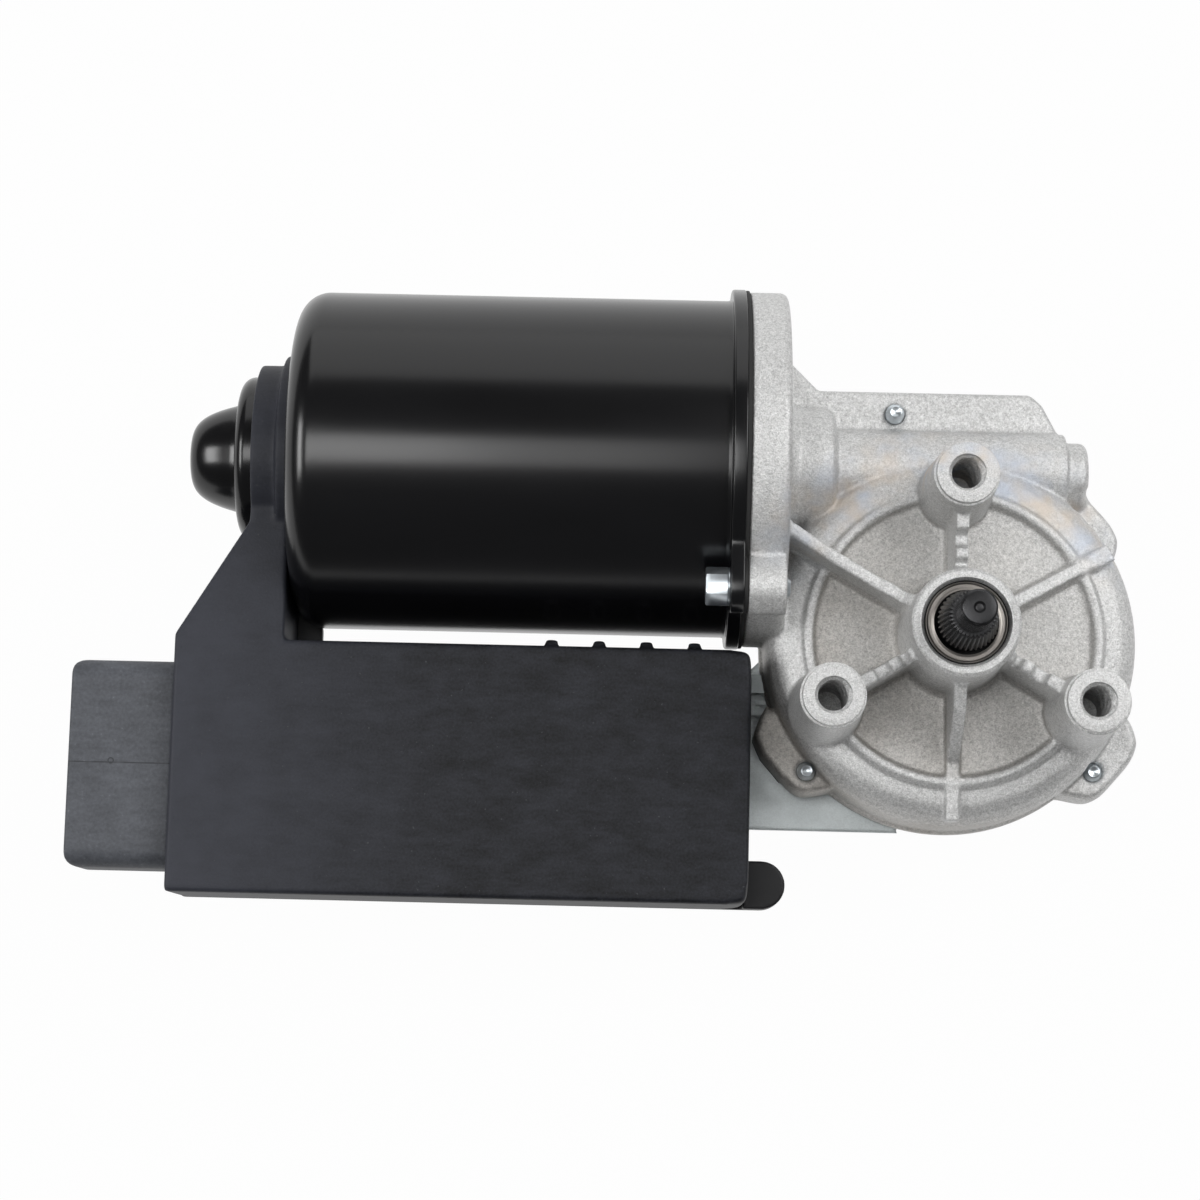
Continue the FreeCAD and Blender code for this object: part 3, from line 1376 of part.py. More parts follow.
def leads():
    body = piece("lead_grommet")
    rod(body, (grommet_left, grommet_y, axis_z), s.grommet_radius, grommet_length)
    for side in (1, -1):
        rod(body, (grommet_left - 1, grommet_y, axis_z + side * 1.35), s.lead_radius + 0.05,
            grommet_length + 2, cut=True)
    body = piece("motor_leads", group=True)
    for side in (1, -1):
        z = axis_z + side * 1.35
        bend_x = side * 1.5 - 0.2 - s.arm_left
        end_y = side * 3 - 11.6 - s.case_upper
        rod(body, (bend_x, grommet_y, z), s.lead_radius, end_x + s.card_inset - bend_x)
        rod(body, (bend_x, end_y, z), s.lead_radius, grommet_y - end_y, "Y")
        rod(body, (bend_x, end_y, board_top), s.lead_radius, z - board_top, "Z")
        shape_in(body, "Sphere", (bend_x, grommet_y, z), Radius=s.lead_radius)
        shape_in(body, "Sphere", (bend_x, end_y, z), Radius=s.lead_radius)


loose_nodes = []
shaft_rear_x = end_x - s.end_boss_length - 4.6
rear_bush_radius = s.nose_base_radius - 2.8
worm_seat_end = s.tunnel_end + s.worm_boss_length - 2.2
worm_bush_end = s.tunnel_end - 1.2
board_base = cover_z + s.base_thickness
s.shroud_height = -board_base - s.shroud_top_depth
s.nub_top = cover_z + s.nub_height
board_low = board_base + s.board_standoff - 0.7
board_top = board_low + s.board_thickness
grommet_y = axis_y - s.grommet_drop
grommet_left = -s.arm_right - s.case_wall - 0.6
grommet_length = 7.2
tongue_low = (-s.shroud_lower + 4.6, -s.shroud_top_depth - s.shroud_height + 4)
tongue_high = (-s.shroud_upper - 4.6, -s.shroud_top_depth - 4)
pin_rows = (-s.shroud_top_depth - s.shroud_height * 0.62, -s.shroud_top_depth - s.shroud_height * 0.32)
nub_x, nub_y = 3.8 - s.case_right, s.nub_radius - s.case_lower
nub_web = nub_x - 4.2
latch_places = [-s.case_right - step for step in (14.5, 25.5, 36.3, 47.2)]
module_screws = [(6 - s.plate_left, 5.2 - s.plate_lower), (-s.case_right - 10.4, -s.plate_upper - 7)]
board_posts = [(9.8 - s.case_left, 8.6 - s.case_lower), (9.8 - s.case_left, -s.case_upper - 9.6),
               (-s.case_right - 13.4, 8.6 - s.case_lower)]
board_middle = (s.case_left + s.case_right) / -2

builders = [
    gear_housing, output_bushes, seal_and_washers, output_shaft, wheel_parts, worm_wheel,
    park_switch, cover_parts, armature_shaft, armature_parts, motor_can,
    motor_seals_and_screws, field_parts, bearings, brush_gear, module_case, module_base,
    connector, electronics, leads,
]
for build in builders:
    build()
    doc.recompute()

helpers = {"wheel_blank", "armature_shaft_core", "gear_housing_shell", "housing_raised", "housing_cores"}
nodes = [item for item in doc.Objects
         if item.TypeId == "PartDesign::Body" and item.Label not in helpers] + loose_nodes
faults = []
for item in doc.Objects:
    if any(word in item.State for word in ("Invalid", "Error")):
        faults.append(f"{item.Label}: {item.getStatusString()}")
for node in nodes:
    if node.Shape.isNull() or not node.Shape.isValid() or not node.Shape.Solids:
        faults.append(f"{node.Label}: no valid solid")
if faults:
    raise RuntimeError("The wiper motor has faults: " + ", ".join(faults))

os.makedirs("parts", exist_ok=True)
for node in nodes:
    node.Shape.exportStep(f"parts/{node.Label}.step")
print(f"{len(nodes)} parts of the wiper motor exported")
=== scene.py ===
import bmesh
import bpy
import json
import math
from mathutils import Matrix, Quaternion, Vector


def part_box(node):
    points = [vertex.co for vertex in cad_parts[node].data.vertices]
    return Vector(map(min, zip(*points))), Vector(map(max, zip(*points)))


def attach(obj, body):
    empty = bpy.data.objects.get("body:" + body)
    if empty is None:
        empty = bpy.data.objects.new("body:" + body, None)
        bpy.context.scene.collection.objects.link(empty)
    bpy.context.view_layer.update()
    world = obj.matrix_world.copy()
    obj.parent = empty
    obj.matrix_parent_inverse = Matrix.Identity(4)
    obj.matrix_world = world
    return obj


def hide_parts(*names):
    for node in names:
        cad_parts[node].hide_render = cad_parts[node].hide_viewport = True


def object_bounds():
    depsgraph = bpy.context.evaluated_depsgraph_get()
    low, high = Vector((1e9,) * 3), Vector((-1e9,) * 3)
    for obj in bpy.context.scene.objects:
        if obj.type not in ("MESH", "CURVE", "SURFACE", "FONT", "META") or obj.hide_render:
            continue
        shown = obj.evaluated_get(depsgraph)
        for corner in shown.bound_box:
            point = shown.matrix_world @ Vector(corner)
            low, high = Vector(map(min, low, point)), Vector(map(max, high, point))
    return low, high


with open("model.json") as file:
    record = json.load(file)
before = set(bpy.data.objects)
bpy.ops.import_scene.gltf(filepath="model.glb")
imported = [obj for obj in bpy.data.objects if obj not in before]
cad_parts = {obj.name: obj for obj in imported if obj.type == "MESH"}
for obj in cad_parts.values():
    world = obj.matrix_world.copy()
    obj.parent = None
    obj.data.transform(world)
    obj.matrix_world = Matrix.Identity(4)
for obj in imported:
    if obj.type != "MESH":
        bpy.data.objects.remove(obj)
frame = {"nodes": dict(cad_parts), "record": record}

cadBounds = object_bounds()
nodes = frame["nodes"]
mm = 0.001
weldDistance = 0.000002
sharpAngle, softAngle = 32, 60
shaftAxis = (0, 0, 0)
motorAxis = (0, 40.25, -39.5)
print("wiper motor: frame loaded,", len(nodes), "nodes")


# Mesh helpers; every length in them is in millimetres.

def linked(name, data):
    thing = bpy.data.objects.new(name, data)
    bpy.context.scene.collection.objects.link(thing)
    return thing


def tidyMesh(mesh):
    work = bmesh.new()
    work.from_mesh(mesh)
    bmesh.ops.remove_doubles(work, verts=work.verts, dist=weldDistance)
    bmesh.ops.recalc_face_normals(work, faces=work.faces)
    work.to_mesh(mesh)
    work.free()


def smoothMesh(mesh, angle):
    mesh.polygons.foreach_set("use_smooth", [True] * len(mesh.polygons))
    mesh.set_sharp_from_angle(angle=math.radians(angle))


def roundedPath(points, steps=6, longestReach=0.49):
    # points are (along, radius, fillet); each corner becomes a true arc
    path = []
    for index, (a, r, fillet) in enumerate(points):
        if fillet <= 0 or index in (0, len(points) - 1):
            path.append((a, r))
            continue
        here = Vector((a, r))
        toBefore = Vector(points[index - 1][:2]) - here
        toAfter = Vector(points[index + 1][:2]) - here
        before, after = toBefore.normalized(), toAfter.normalized()
        half = before.angle(after, math.pi) / 2
        reach = min(fillet / math.tan(half), longestReach * toBefore.length, longestReach * toAfter.length)
        middle = (before + after).normalized() * (reach * math.tan(half) / math.sin(half)) + here
        first = here + before * reach - middle
        sweep = first.angle_signed(here + after * reach - middle)
        for k in range(steps + 1):
            turn = -sweep * k / steps
            c, s = math.cos(turn), math.sin(turn)
            path.append((middle.x + first.x * c - first.y * s, middle.y + first.x * s + first.y * c))
    return path


def lathe(path, axis="X", centre=motorAxis, segments=128, wobble=None):
    # turns (along, radius) points round an axis; wobble changes the radius with height and angle
    vertices, faces = [], []
    rows = len(path)
    for a, r in path:
        for k in range(segments):
            turn = 2 * math.pi * k / segments
            radius = r if wobble is None else wobble(a, r, turn)
            c, s = radius * math.cos(turn), radius * math.sin(turn)
            offset = (a, c, s) if axis == "X" else (c, s, a)
            vertices.append(tuple(middle + step for middle, step in zip(centre, offset)))
    for row in range(rows):
        above = (row + 1) % rows
        for k in range(segments):
            beside = (k + 1) % segments
            faces.append((row * segments + k, row * segments + beside,
                          above * segments + beside, above * segments + k))
    return vertices, faces


def slab(outline, low, high, plane="XY"):
    # a straight-sided slab over a closed outline, which lies in the XY or the YZ plane
    count = len(outline)
    vertices = [(u, v, w) if plane == "XY" else (w, u, v) for w in (low, high) for u, v in outline]
    faces = [tuple(range(count))[::-1], tuple(range(count, 2 * count))]
    faces += [(k, (k + 1) % count, count + (k + 1) % count, count + k) for k in range(count)]
    return vertices, faces


def arcPoints(cx, cy, radius, start, sweep, count=10):
    turns = [math.radians(start + sweep * k / (count - 1)) for k in range(count)]
    return [(cx + radius * math.cos(turn), cy + radius * math.sin(turn)) for turn in turns]


def heights(start, end, step):
    # evenly spaced heights that stop short of the end
    height = start
    while (height - end) * step < 0:
        yield height
        height += step


def threadRadius(crest, root, pitch, a, turn, flat=0.125):
    # radius of a screw thread at one height and angle; flat is the share of the pitch on the crest
    part = (a / pitch - turn / (2 * math.pi)) % 1.0
    flank = 0.5 - flat * 1.5
    if part < flat:
        share = 0.0
    elif part < 0.5 - flat / 2:
        share = (part - flat) / flank
    elif part < 0.5 + flat * 1.5:
        share = 1.0
    else:
        share = max(0.0, (1.0 - part) / flank)
    return crest - (crest - root) * share


def sixSided(radius, turn):
    # distance to the flats of a hexagon whose corners lie on the radius
    part = (turn % (math.pi / 3)) - math.pi / 6
    return radius * math.cos(math.pi / 6) / math.cos(part)


def meshObject(name, *parts):
    vertices, faces = [], []
    for partVertices, partFaces in parts:
        start = len(vertices)
        vertices += partVertices
        faces += [tuple(index + start for index in face) for face in partFaces]
    mesh = bpy.data.meshes.new(name)
    mesh.from_pydata([Vector(v) * mm for v in vertices], [], faces)
    mesh.validate()
    tidyMesh(mesh)
    return linked(name, mesh)


def newPiece(name, body, slotName, parts, smoothAngle=sharpAngle, replaced=()):
    piece = meshObject(name, *parts)
    smoothMesh(piece.data, smoothAngle)
    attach(piece, body)
    piece.data.materials.append(finishes[slotName])
    if replaced:
        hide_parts(*replaced)
    return piece


def smoothModifier(piece, name, factor, rounds):
    ease = piece.modifiers.new(name, "SMOOTH")
    ease.factor = factor
    ease.iterations = rounds
    return ease


def applyModifiers(piece):
    shape = bpy.data.meshes.new_from_object(piece.evaluated_get(bpy.context.evaluated_depsgraph_get()))
    piece.modifiers.clear()
    piece.data = shape


def roundPlanCorners(piece, weightAt, rounds, factor=0.5):
    # rounds the weighted corners in plan only, so the faces stay level
    group = piece.vertex_groups.new(name="corners")
    for vertex in piece.data.vertices:
        x, y, _ = vertex.co / mm
        weight = weightAt(x, y)
        if weight > 0:
            group.add([vertex.index], min(1.0, weight), "REPLACE")
    plan = smoothModifier(piece, "planCorners", factor, rounds)
    plan.use_z = False
    plan.vertex_group = "corners"
    applyModifiers(piece)
    piece.vertex_groups.clear()


def softCopy(node, name, body, slotName, look, *cutters):
    # a copy of a CAD solid with its edges eased, as a casting or a moulding has them
    mesh = nodes[node].data.copy()
    mesh.materials.clear()
    piece = linked(name, mesh)
    tidyMesh(mesh)
    for tool in cutters:
        cut = piece.modifiers.new("bores", "BOOLEAN")
        cut.operation = look.get("operation", "DIFFERENCE")
        cut.object = tool
        cut.solver = "EXACT"
    remesh = piece.modifiers.new("skin", "REMESH")
    remesh.mode = "VOXEL"
    remesh.voxel_size = look["voxel"] * mm
    smoothModifier(piece, "softEdges", look["factor"], look["smoothing"])
    if "keep" in look:
        piece.modifiers.new("thin", "DECIMATE").ratio = look["keep"]
    applyModifiers(piece)
    if "planCorners" in look:
        roundPlanCorners(piece, look["planCorners"], look["planRounds"])
    smoothMesh(piece.data, softAngle)
    for tool in cutters:
        bpy.data.objects.remove(tool)
    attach(piece, body)
    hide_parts(node)
    piece.data.materials.append(finishes[slotName])
    print(name, "faces", len(piece.data.polygons))
    return piece


# Node helpers. A value is a number, a colour or another node's output.

def feed(tree, socket, value):
    if isinstance(value, (int, float, tuple)):
        socket.default_value = value
    else:
        tree.links.new(value, socket)


def mathNode(tree, operation, *values, clamp=False):
    node = tree.nodes.new("ShaderNodeMath")
    node.operation = operation
    node.use_clamp = clamp
    for socket, value in zip(node.inputs, values):
        feed(tree, socket, value)
    return node.outputs[0]


def total(tree, first, second):
    return mathNode(tree, "ADD", first, second)


def less(tree, first, second):
    return mathNode(tree, "SUBTRACT", first, second)


def product(tree, *values):
    result = values[0]
    for value in values[1:]:
        result = mathNode(tree, "MULTIPLY", result, value)
    return result


def distance(tree, first, second):
    # how far two offsets at right angles reach together
    return mathNode(tree, "SQRT", total(tree, product(tree, first, first), product(tree, second, second)))


def position(tree):
    return tree.nodes.new("ShaderNodeTexCoord").outputs["Object"]


def axesOf(tree, place):
    split = tree.nodes.new("ShaderNodeSeparateXYZ")
    feed(tree, split.inputs[0], place)
    return split.outputs


def noiseNode(tree, vector, scale, detail=2.0, roughness=0.5, stretch=None):
    if stretch is not None:
        mapping = tree.nodes.new("ShaderNodeMapping")
        mapping.inputs["Scale"].default_value = stretch
        feed(tree, mapping.inputs["Vector"], vector)
        vector = mapping.outputs[0]
    node = tree.nodes.new("ShaderNodeTexNoise")
    for label, value in (("Vector", vector), ("Scale", scale), ("Detail", detail), ("Roughness", roughness)):
        feed(tree, node.inputs[label], value)
    return node.outputs["Fac"]


def rangeNode(tree, value, low, high, toLow=0.0, toHigh=1.0):
    node = tree.nodes.new("ShaderNodeMapRange")
    for label, number in (("Value", value), ("From Min", low), ("From Max", high),
                          ("To Min", toLow), ("To Max", toHigh)):
        feed(tree, node.inputs[label], number)
    return node.outputs[0]


def swing(tree, noise, reach, noiseSpan=(0.3, 0.7)):
    # noise that swings evenly about zero; noiseSpan is what a noise texture mostly keeps to
    return rangeNode(tree, noise, *noiseSpan, -reach, reach)


def mixColour(tree, factor, first, second, blend="MIX"):
    node = tree.nodes.new("ShaderNodeMix")
    node.data_type = "RGBA"
    node.blend_type = blend
    for index, value in ((0, factor), (6, first), (7, second)):
        feed(tree, node.inputs[index], value)
    return node.outputs[2]


# Shader groups. Their own lengths and sizes are in metres and per metre.

def newGroup(name, inputs, outputs):
    group = bpy.data.node_groups.new(name, "ShaderNodeTree")
    for label, value in inputs.items():
        socket = group.interface.new_socket(label, in_out="INPUT", socket_type="NodeSocketFloat")
        socket.default_value = value
    for label in outputs:
        group.interface.new_socket(label, in_out="OUTPUT", socket_type="NodeSocketFloat")
    return group, group.nodes.new("NodeGroupInput").outputs, group.nodes.new("NodeGroupOutput").inputs


def buildCastSkin():
    # sandy skin of a pressure die casting, with cloudy flow marks
    group, given, result = newGroup(
        "castSkin", {"Grain Size": 1500.0, "Grain Strength": 1.0, "Cloud Size": 28.0, "Cloud Strength": 0.5},
        ("Height", "Tone", "Gloss"))
    coarseShare, coarseHeight = 0.42, 0.8
    place = position(group)
    fine = noiseNode(group, place, given["Grain Size"], detail=3.0, roughness=0.65)
    coarse = noiseNode(group, place, product(group, given["Grain Size"], coarseShare))
    cloud = noiseNode(group, place, given["Cloud Size"], detail=4.0, roughness=0.6)
    feed(group, result["Height"], total(group, fine, product(group, coarse, coarseHeight)))
    speckle = total(group, swing(group, fine, 0.5), swing(group, coarse, 0.25))
    drift = product(group, swing(group, cloud, 1.0), given["Cloud Strength"])
    feed(group, result["Tone"], total(group, product(group, speckle, given["Grain Strength"]), drift))
    feed(group, result["Gloss"], rangeNode(group, cloud, 0.35, 0.65))
    return group


# each pair says where the painted shade or the film is not yet seen and where it is full
shadeAndFilmEdges = {"panRim": (0.0008, -0.0008), "panFloor": (0.0012, -0.0004), "leftward": (0.040, -0.040),
              "skirtLevel": (-0.029, -0.036), "skirtSide": (0.0, -0.045), "skirtRadius": (0.030, 0.036),
              "filmInner": (0.0325, 0.036), "filmOuter": (0.052, 0.044), "filmSide": (0.010, 0.026)}
# size, detail and roughness of each noise
shadeAndFilmNoise = {"patches": (55.0, 3.0, 0.55), "film": (70.0, 3.0, 0.6), "hue": (120.0, 2.0, 0.5)}
paintedShadeShares = {"panSlope": 0.9, "panLeft": 0.55, "panRight": 0.3, "skirtSlope": 0.8, "skirt": 0.95}


def buildCastShadeAndFilm():
    # painted brown shade in the dome floor and low on the lower left, where less light falls, and a rainbow
    # film near the tunnel
    group, given, result = newGroup("castShadeAndFilm", {"Pan Radius": 0.0325, "Pan Level": -0.0262},
                                    ("Shade", "Film", "Hue"))
    edges, shares = shadeAndFilmEdges, paintedShadeShares
    place = position(group)
    x, y, z = axesOf(group, place)
    radius = distance(group, x, y)
    # painted shade: the dome floor and the low skirt grow darker towards the lower left, in place of the
    # light falling from the upper right
    inside = rangeNode(group, less(group, radius, given["Pan Radius"]), *edges["panRim"])
    low = rangeNode(group, less(group, z, given["Pan Level"]), *edges["panFloor"])
    leftward = rangeNode(group, total(group, x, product(group, y, shares["panSlope"])), *edges["leftward"])
    leftward = total(group, product(group, leftward, shares["panLeft"]), shares["panRight"])
    pan = product(group, inside, low, leftward)
    slanting = total(group, product(group, x, shares["skirtSlope"]), y)
    skirt = product(group, rangeNode(group, z, *edges["skirtLevel"]),
                    rangeNode(group, slanting, *edges["skirtSide"]),
                    rangeNode(group, radius, *edges["skirtRadius"]))
    shade = mathNode(group, "MAXIMUM", pan, product(group, skirt, shares["skirt"]))
    patches = noiseNode(group, place, *shadeAndFilmNoise["patches"])
    patches = rangeNode(group, patches, 0.3, 0.62, toLow=0.7, toHigh=1.12)
    feed(group, result["Shade"], product(group, shade, patches))
    streaks = rangeNode(group, noiseNode(group, place, *shadeAndFilmNoise["film"]), 0.36, 0.6, toLow=0.1)
    feed(group, result["Film"], product(group, rangeNode(group, radius, *edges["filmInner"]),
                                        rangeNode(group, radius, *edges["filmOuter"]),
                                        rangeNode(group, y, *edges["filmSide"]), streaks))
    feed(group, result["Hue"], rangeNode(group, noiseNode(group, place, *shadeAndFilmNoise["hue"]), 0.38, 0.62))
    return group


mouldNoise = {"cloud": (90.0, 3.0, 0.6), "streak": (420.0, 2.0, 0.6), "specks": (1300.0, 1.0, 0.4)}
flowStretch = (0.35, 1.0, 1.0)


def buildMouldSkinAndSheen():
    # fine spark-eroded grain of a moulding, with faint clouds, flow streaks, dust and a painted pale sheen
    # that lightens the left end, where the lamps' light is reflected
    group, given, result = newGroup(
        "mouldSkinAndSheen", {"Grain Size": 2600.0, "Dust": 0.5, "Painted Sheen From": -0.115, "Painted Sheen To": -0.185},
        ("Height", "Dust", "Tone", "Painted Sheen"))
    place = position(group)
    fine = noiseNode(group, place, given["Grain Size"], roughness=0.6)
    cloud = noiseNode(group, place, *mouldNoise["cloud"])
    streak = noiseNode(group, place, *mouldNoise["streak"], stretch=flowStretch)
    feed(group, result["Height"], fine)
    marks = total(group, swing(group, cloud, 0.35), swing(group, streak, 0.45))
    feed(group, result["Tone"], total(group, marks, swing(group, fine, 0.5)))
    specks = rangeNode(group, noiseNode(group, place, *mouldNoise["specks"]), 0.74, 0.80)
    feed(group, result["Dust"], mathNode(group, "MULTIPLY", specks, given["Dust"], clamp=True))
    # painted sheen: the left end is lighter, in place of the light that the lamps on the left reflect there
    share = rangeNode(group, axesOf(group, place)[0], given["Painted Sheen From"], given["Painted Sheen To"])
    feed(group, result["Painted Sheen"], product(group, share, rangeNode(group, cloud, 0.3, 0.7, toLow=0.75)))
    return group


def buildPartingLine():
    # a fine line where two halves of a mould met, with the ring of one ejector pin
    group, given, result = newGroup(
        "partingLine",
        {"Line Y": -0.0329, "Line Width": 0.00009, "Pin X": -0.192, "Pin Y": -0.0325, "Pin Radius": 0.0006},
        ("Mask",))
    lineEdge, ringEdge = (0.00012, 0.0), (0.00022, 0.00008)
    place = position(group)
    x, y, _ = axesOf(group, place)
    away = mathNode(group, "ABSOLUTE", less(group, y, given["Line Y"]))
    line = rangeNode(group, less(group, away, given["Line Width"]), *lineEdge)
    broken = rangeNode(group, noiseNode(group, place, scale=180.0), 0.38, 0.5, toLow=0.35)
    reach = distance(group, less(group, x, given["Pin X"]), less(group, y, given["Pin Y"]))
    ring = rangeNode(group, mathNode(group, "ABSOLUTE", less(group, reach, given["Pin Radius"])), *ringEdge)
    feed(group, result["Mask"], mathNode(group, "MAXIMUM", product(group, line, broken), ring))
    return group


def buildTurnedMarks():
    # fine rings left by a lathe tool, about the output shaft (Z) or about the motor's axis (X);
    # the pitch is in radians per metre
    group, given, result = newGroup(
        "turnedMarks", {"Ring Pitch": 9000.0, "About X": 0.0, "Centre Y": 0.0, "Centre Z": 0.0},
        ("Height", "Tone"))
    place = position(group)
    x, y, z = axesOf(group, place)
    sideways = less(group, y, given["Centre Y"])
    aboutZ = total(group, distance(group, x, sideways), z)
    aboutX = total(group, distance(group, sideways, less(group, z, given["Centre Z"])), x)
    radius = total(group, product(group, aboutX, given["About X"]),
                   product(group, aboutZ, less(group, 1.0, given["About X"])))
    wave = mathNode(group, "SINE", product(group, radius, given["Ring Pitch"]))
    feed(group, result["Height"], wave)
    worn = rangeNode(group, noiseNode(group, place, scale=300.0, detail=3.0), 0.35, 0.65)
    feed(group, result["Tone"], product(group, wave, worn))
    return group


shaderGroups = {"castSkin": buildCastSkin(), "castShadeAndFilm": buildCastShadeAndFilm(), "mouldSkinAndSheen": buildMouldSkinAndSheen(),
                "partingLine": buildPartingLine(), "turnedMarks": buildTurnedMarks()}


def startMaterial(name, colour, metallic=0.0, roughness=0.5):
    material = bpy.data.materials.new(name)
    material.use_nodes = True
    tree = material.node_tree
    shader = tree.nodes["Principled BSDF"]
    for label, value in (("Base Color", (*colour, 1.0)), ("Metallic", metallic), ("Roughness", roughness)):
        shader.inputs[label].default_value = value
    return material, tree, shader.inputs


def useGroup(tree, name, **values):
    node = tree.nodes.new("ShaderNodeGroup")
    node.node_tree = shaderGroups[name]
    for label, value in values.items():
        node.inputs[label.replace("_", " ")].default_value = value
    return node.outputs


def bumpFrom(tree, surface, height, strength, depth):
    bump = tree.nodes.new("ShaderNodeBump")
    for label, value in (("Strength", strength), ("Distance", depth), ("Height", height)):
        feed(tree, bump.inputs[label], value)
    feed(tree, surface["Normal"], bump.outputs[0])


def tint(colour, factor, lift=0.0):
    return tuple(min(1.0, c * factor + lift) for c in colour) + (1.0,)


castLook = {"colour": (0.61, 0.61, 0.605), "dark": 0.62, "bright": 1.4, "shade": (0.72, 0.69, 0.655),
            "filmWarm": (0.64, 0.56, 0.48), "filmCool": (0.52, 0.57, 0.66), "film": 0.75, "metallic": 0.72,
            "roughness": 0.54, "glossy": -0.05, "matt": 0.06, "grainSize": 3000.0, "grain": 1.5,
            "cloudSize": 30.0, "cloud": 0.2, "bump": 1.0, "bumpDepth": 0.00012}


def castMaterial():
    look = castLook
    roughness = look["roughness"]
    material, tree, surface = startMaterial("dieCastAluminium", look["colour"], look["metallic"], roughness)
    skin = useGroup(tree, "castSkin", Grain_Size=look["grainSize"], Grain_Strength=look["grain"],
                    Cloud_Size=look["cloudSize"], Cloud_Strength=look["cloud"])
    shadeAndFilm = useGroup(tree, "castShadeAndFilm")
    colour = mixColour(tree, rangeNode(tree, skin["Tone"], -1.0, 1.0),
                       tint(look["colour"], look["dark"]), tint(look["colour"], look["bright"]))
    film = mixColour(tree, shadeAndFilm["Hue"], (*look["filmWarm"], 1.0), (*look["filmCool"], 1.0))
    colour = mixColour(tree, product(tree, shadeAndFilm["Film"], look["film"]), colour, film)
    # painted shade: the dome floor and the lower left are multiplied darker and browner
    shade = mixColour(tree, shadeAndFilm["Shade"], (1, 1, 1, 1), (*look["shade"], 1.0))
    feed(tree, surface["Base Color"], mixColour(tree, 1.0, colour, shade, "MULTIPLY"))
    feed(tree, surface["Roughness"], rangeNode(tree, skin["Gloss"], 0.0, 1.0, roughness + look["glossy"],
                                               roughness + look["matt"]))
    bumpFrom(tree, surface, skin["Height"], look["bump"], look["bumpDepth"])
    return material


# what all plastics and rubbers share
plasticSkin = {"dustBright": 1.4, "dustLift": 0.03, "lineShare": 0.75, "lineDark": 0.2, "bumpDepth": 0.00006}


def plasticMaterial(name, colour, roughness=0.55, grainSize=2600.0, dust=0.3, bump=0.25, spread=0.12,
                    line=False, shine=0.36, paintedSheen=1.0):
    look = plasticSkin
    material, tree, surface = startMaterial(name, colour, roughness=roughness)
    surface["Specular IOR Level"].default_value = shine
    skin = useGroup(tree, "mouldSkinAndSheen", Grain_Size=grainSize, Dust=dust)
    shown = mixColour(tree, rangeNode(tree, skin["Tone"], -1, 1),
                      tint(colour, 1 - spread), tint(colour, 1 + spread))
    if paintedSheen > 1:
        # painted pale sheen towards the plug end, in place of the light reflected there
        shown = mixColour(tree, skin["Painted Sheen"], shown, tint(colour, paintedSheen))
    shown = mixColour(tree, skin["Dust"], shown, tint(colour, look["dustBright"], look["dustLift"]))
    if line:
        mark = product(tree, useGroup(tree, "partingLine")["Mask"], look["lineShare"])
        shown = mixColour(tree, mark, shown, tint(colour, look["lineDark"]))
    feed(tree, surface["Base Color"], shown)
    bumpFrom(tree, surface, skin["Height"], bump, look["bumpDepth"])
    return material


# what all metals but the casting share
metalSkin = {"grainSize": 2600.0, "grain": 0.6, "cloud": 0.6, "darkSpread": 1.6, "glossy": 0.85, "matt": 1.2,
             "bump": 0.15, "bumpDepth": 0.00003, "markShare": 0.35, "markDark": 0.6, "markDepth": 0.00002}


def metalMaterial(name, colour, roughness=0.35, metallic=1.0, marks=0.0, aboutX=0.0, centre=(0.0, 0.0),
                  spread=0.12, cloudSize=60.0, pitch=14000.0):
    look = metalSkin
    material, tree, surface = startMaterial(name, colour, metallic, roughness)
    skin = useGroup(tree, "castSkin", Grain_Size=look["grainSize"], Grain_Strength=look["grain"],
                    Cloud_Size=cloudSize, Cloud_Strength=look["cloud"])
    shown = mixColour(tree, rangeNode(tree, skin["Tone"], -1.0, 1.0),
                      tint(colour, 1 - spread * look["darkSpread"]), tint(colour, 1 + spread))
    feed(tree, surface["Roughness"], rangeNode(tree, skin["Gloss"], 0.0, 1.0, roughness * look["glossy"],
                                               min(1.0, roughness * look["matt"])))
    if marks > 0:
        rings = useGroup(tree, "turnedMarks", Ring_Pitch=pitch, About_X=aboutX,
                         Centre_Y=centre[0], Centre_Z=centre[1])
        worn = rangeNode(tree, rings["Tone"], -1, 1, toHigh=look["markShare"])
        shown = mixColour(tree, worn, shown, tint(colour, look["markDark"]))
        bumpFrom(tree, surface, rings["Height"], marks, look["markDepth"])
    else:
        bumpFrom(tree, surface, skin["Height"], look["bump"], look["bumpDepth"])
    feed(tree, surface["Base Color"], shown)
    return material


lacquerLook = {"colour": (0.0026, 0.0026, 0.0031), "hazeColour": (0.0042, 0.0043, 0.0052),
               "roughness": (0.19, 0.25), "hazeSize": 32.0, "peel": 0.07, "peelSize": 420.0,
               "peelDepth": 0.00005}


def lacquerMaterial():
    # black stoving lacquer: smooth, with the faint orange peel and handling haze of a finished can
    look = lacquerLook
    material, tree, surface = startMaterial("blackLacquer", look["colour"], roughness=look["roughness"][0])
    place = position(tree)
    haze = noiseNode(tree, place, look["hazeSize"], detail=3.0, roughness=0.6, stretch=flowStretch)
    feed(tree, surface["Roughness"], rangeNode(tree, haze, 0.3, 0.7, *look["roughness"]))
    feed(tree, surface["Base Color"], mixColour(tree, rangeNode(tree, haze, 0.35, 0.7),
                                                (*look["colour"], 1.0), (*look["hazeColour"], 1.0)))
    peel = noiseNode(tree, place, look["peelSize"])
    bumpFrom(tree, surface, peel, look["peel"], look["peelDepth"])
    return material


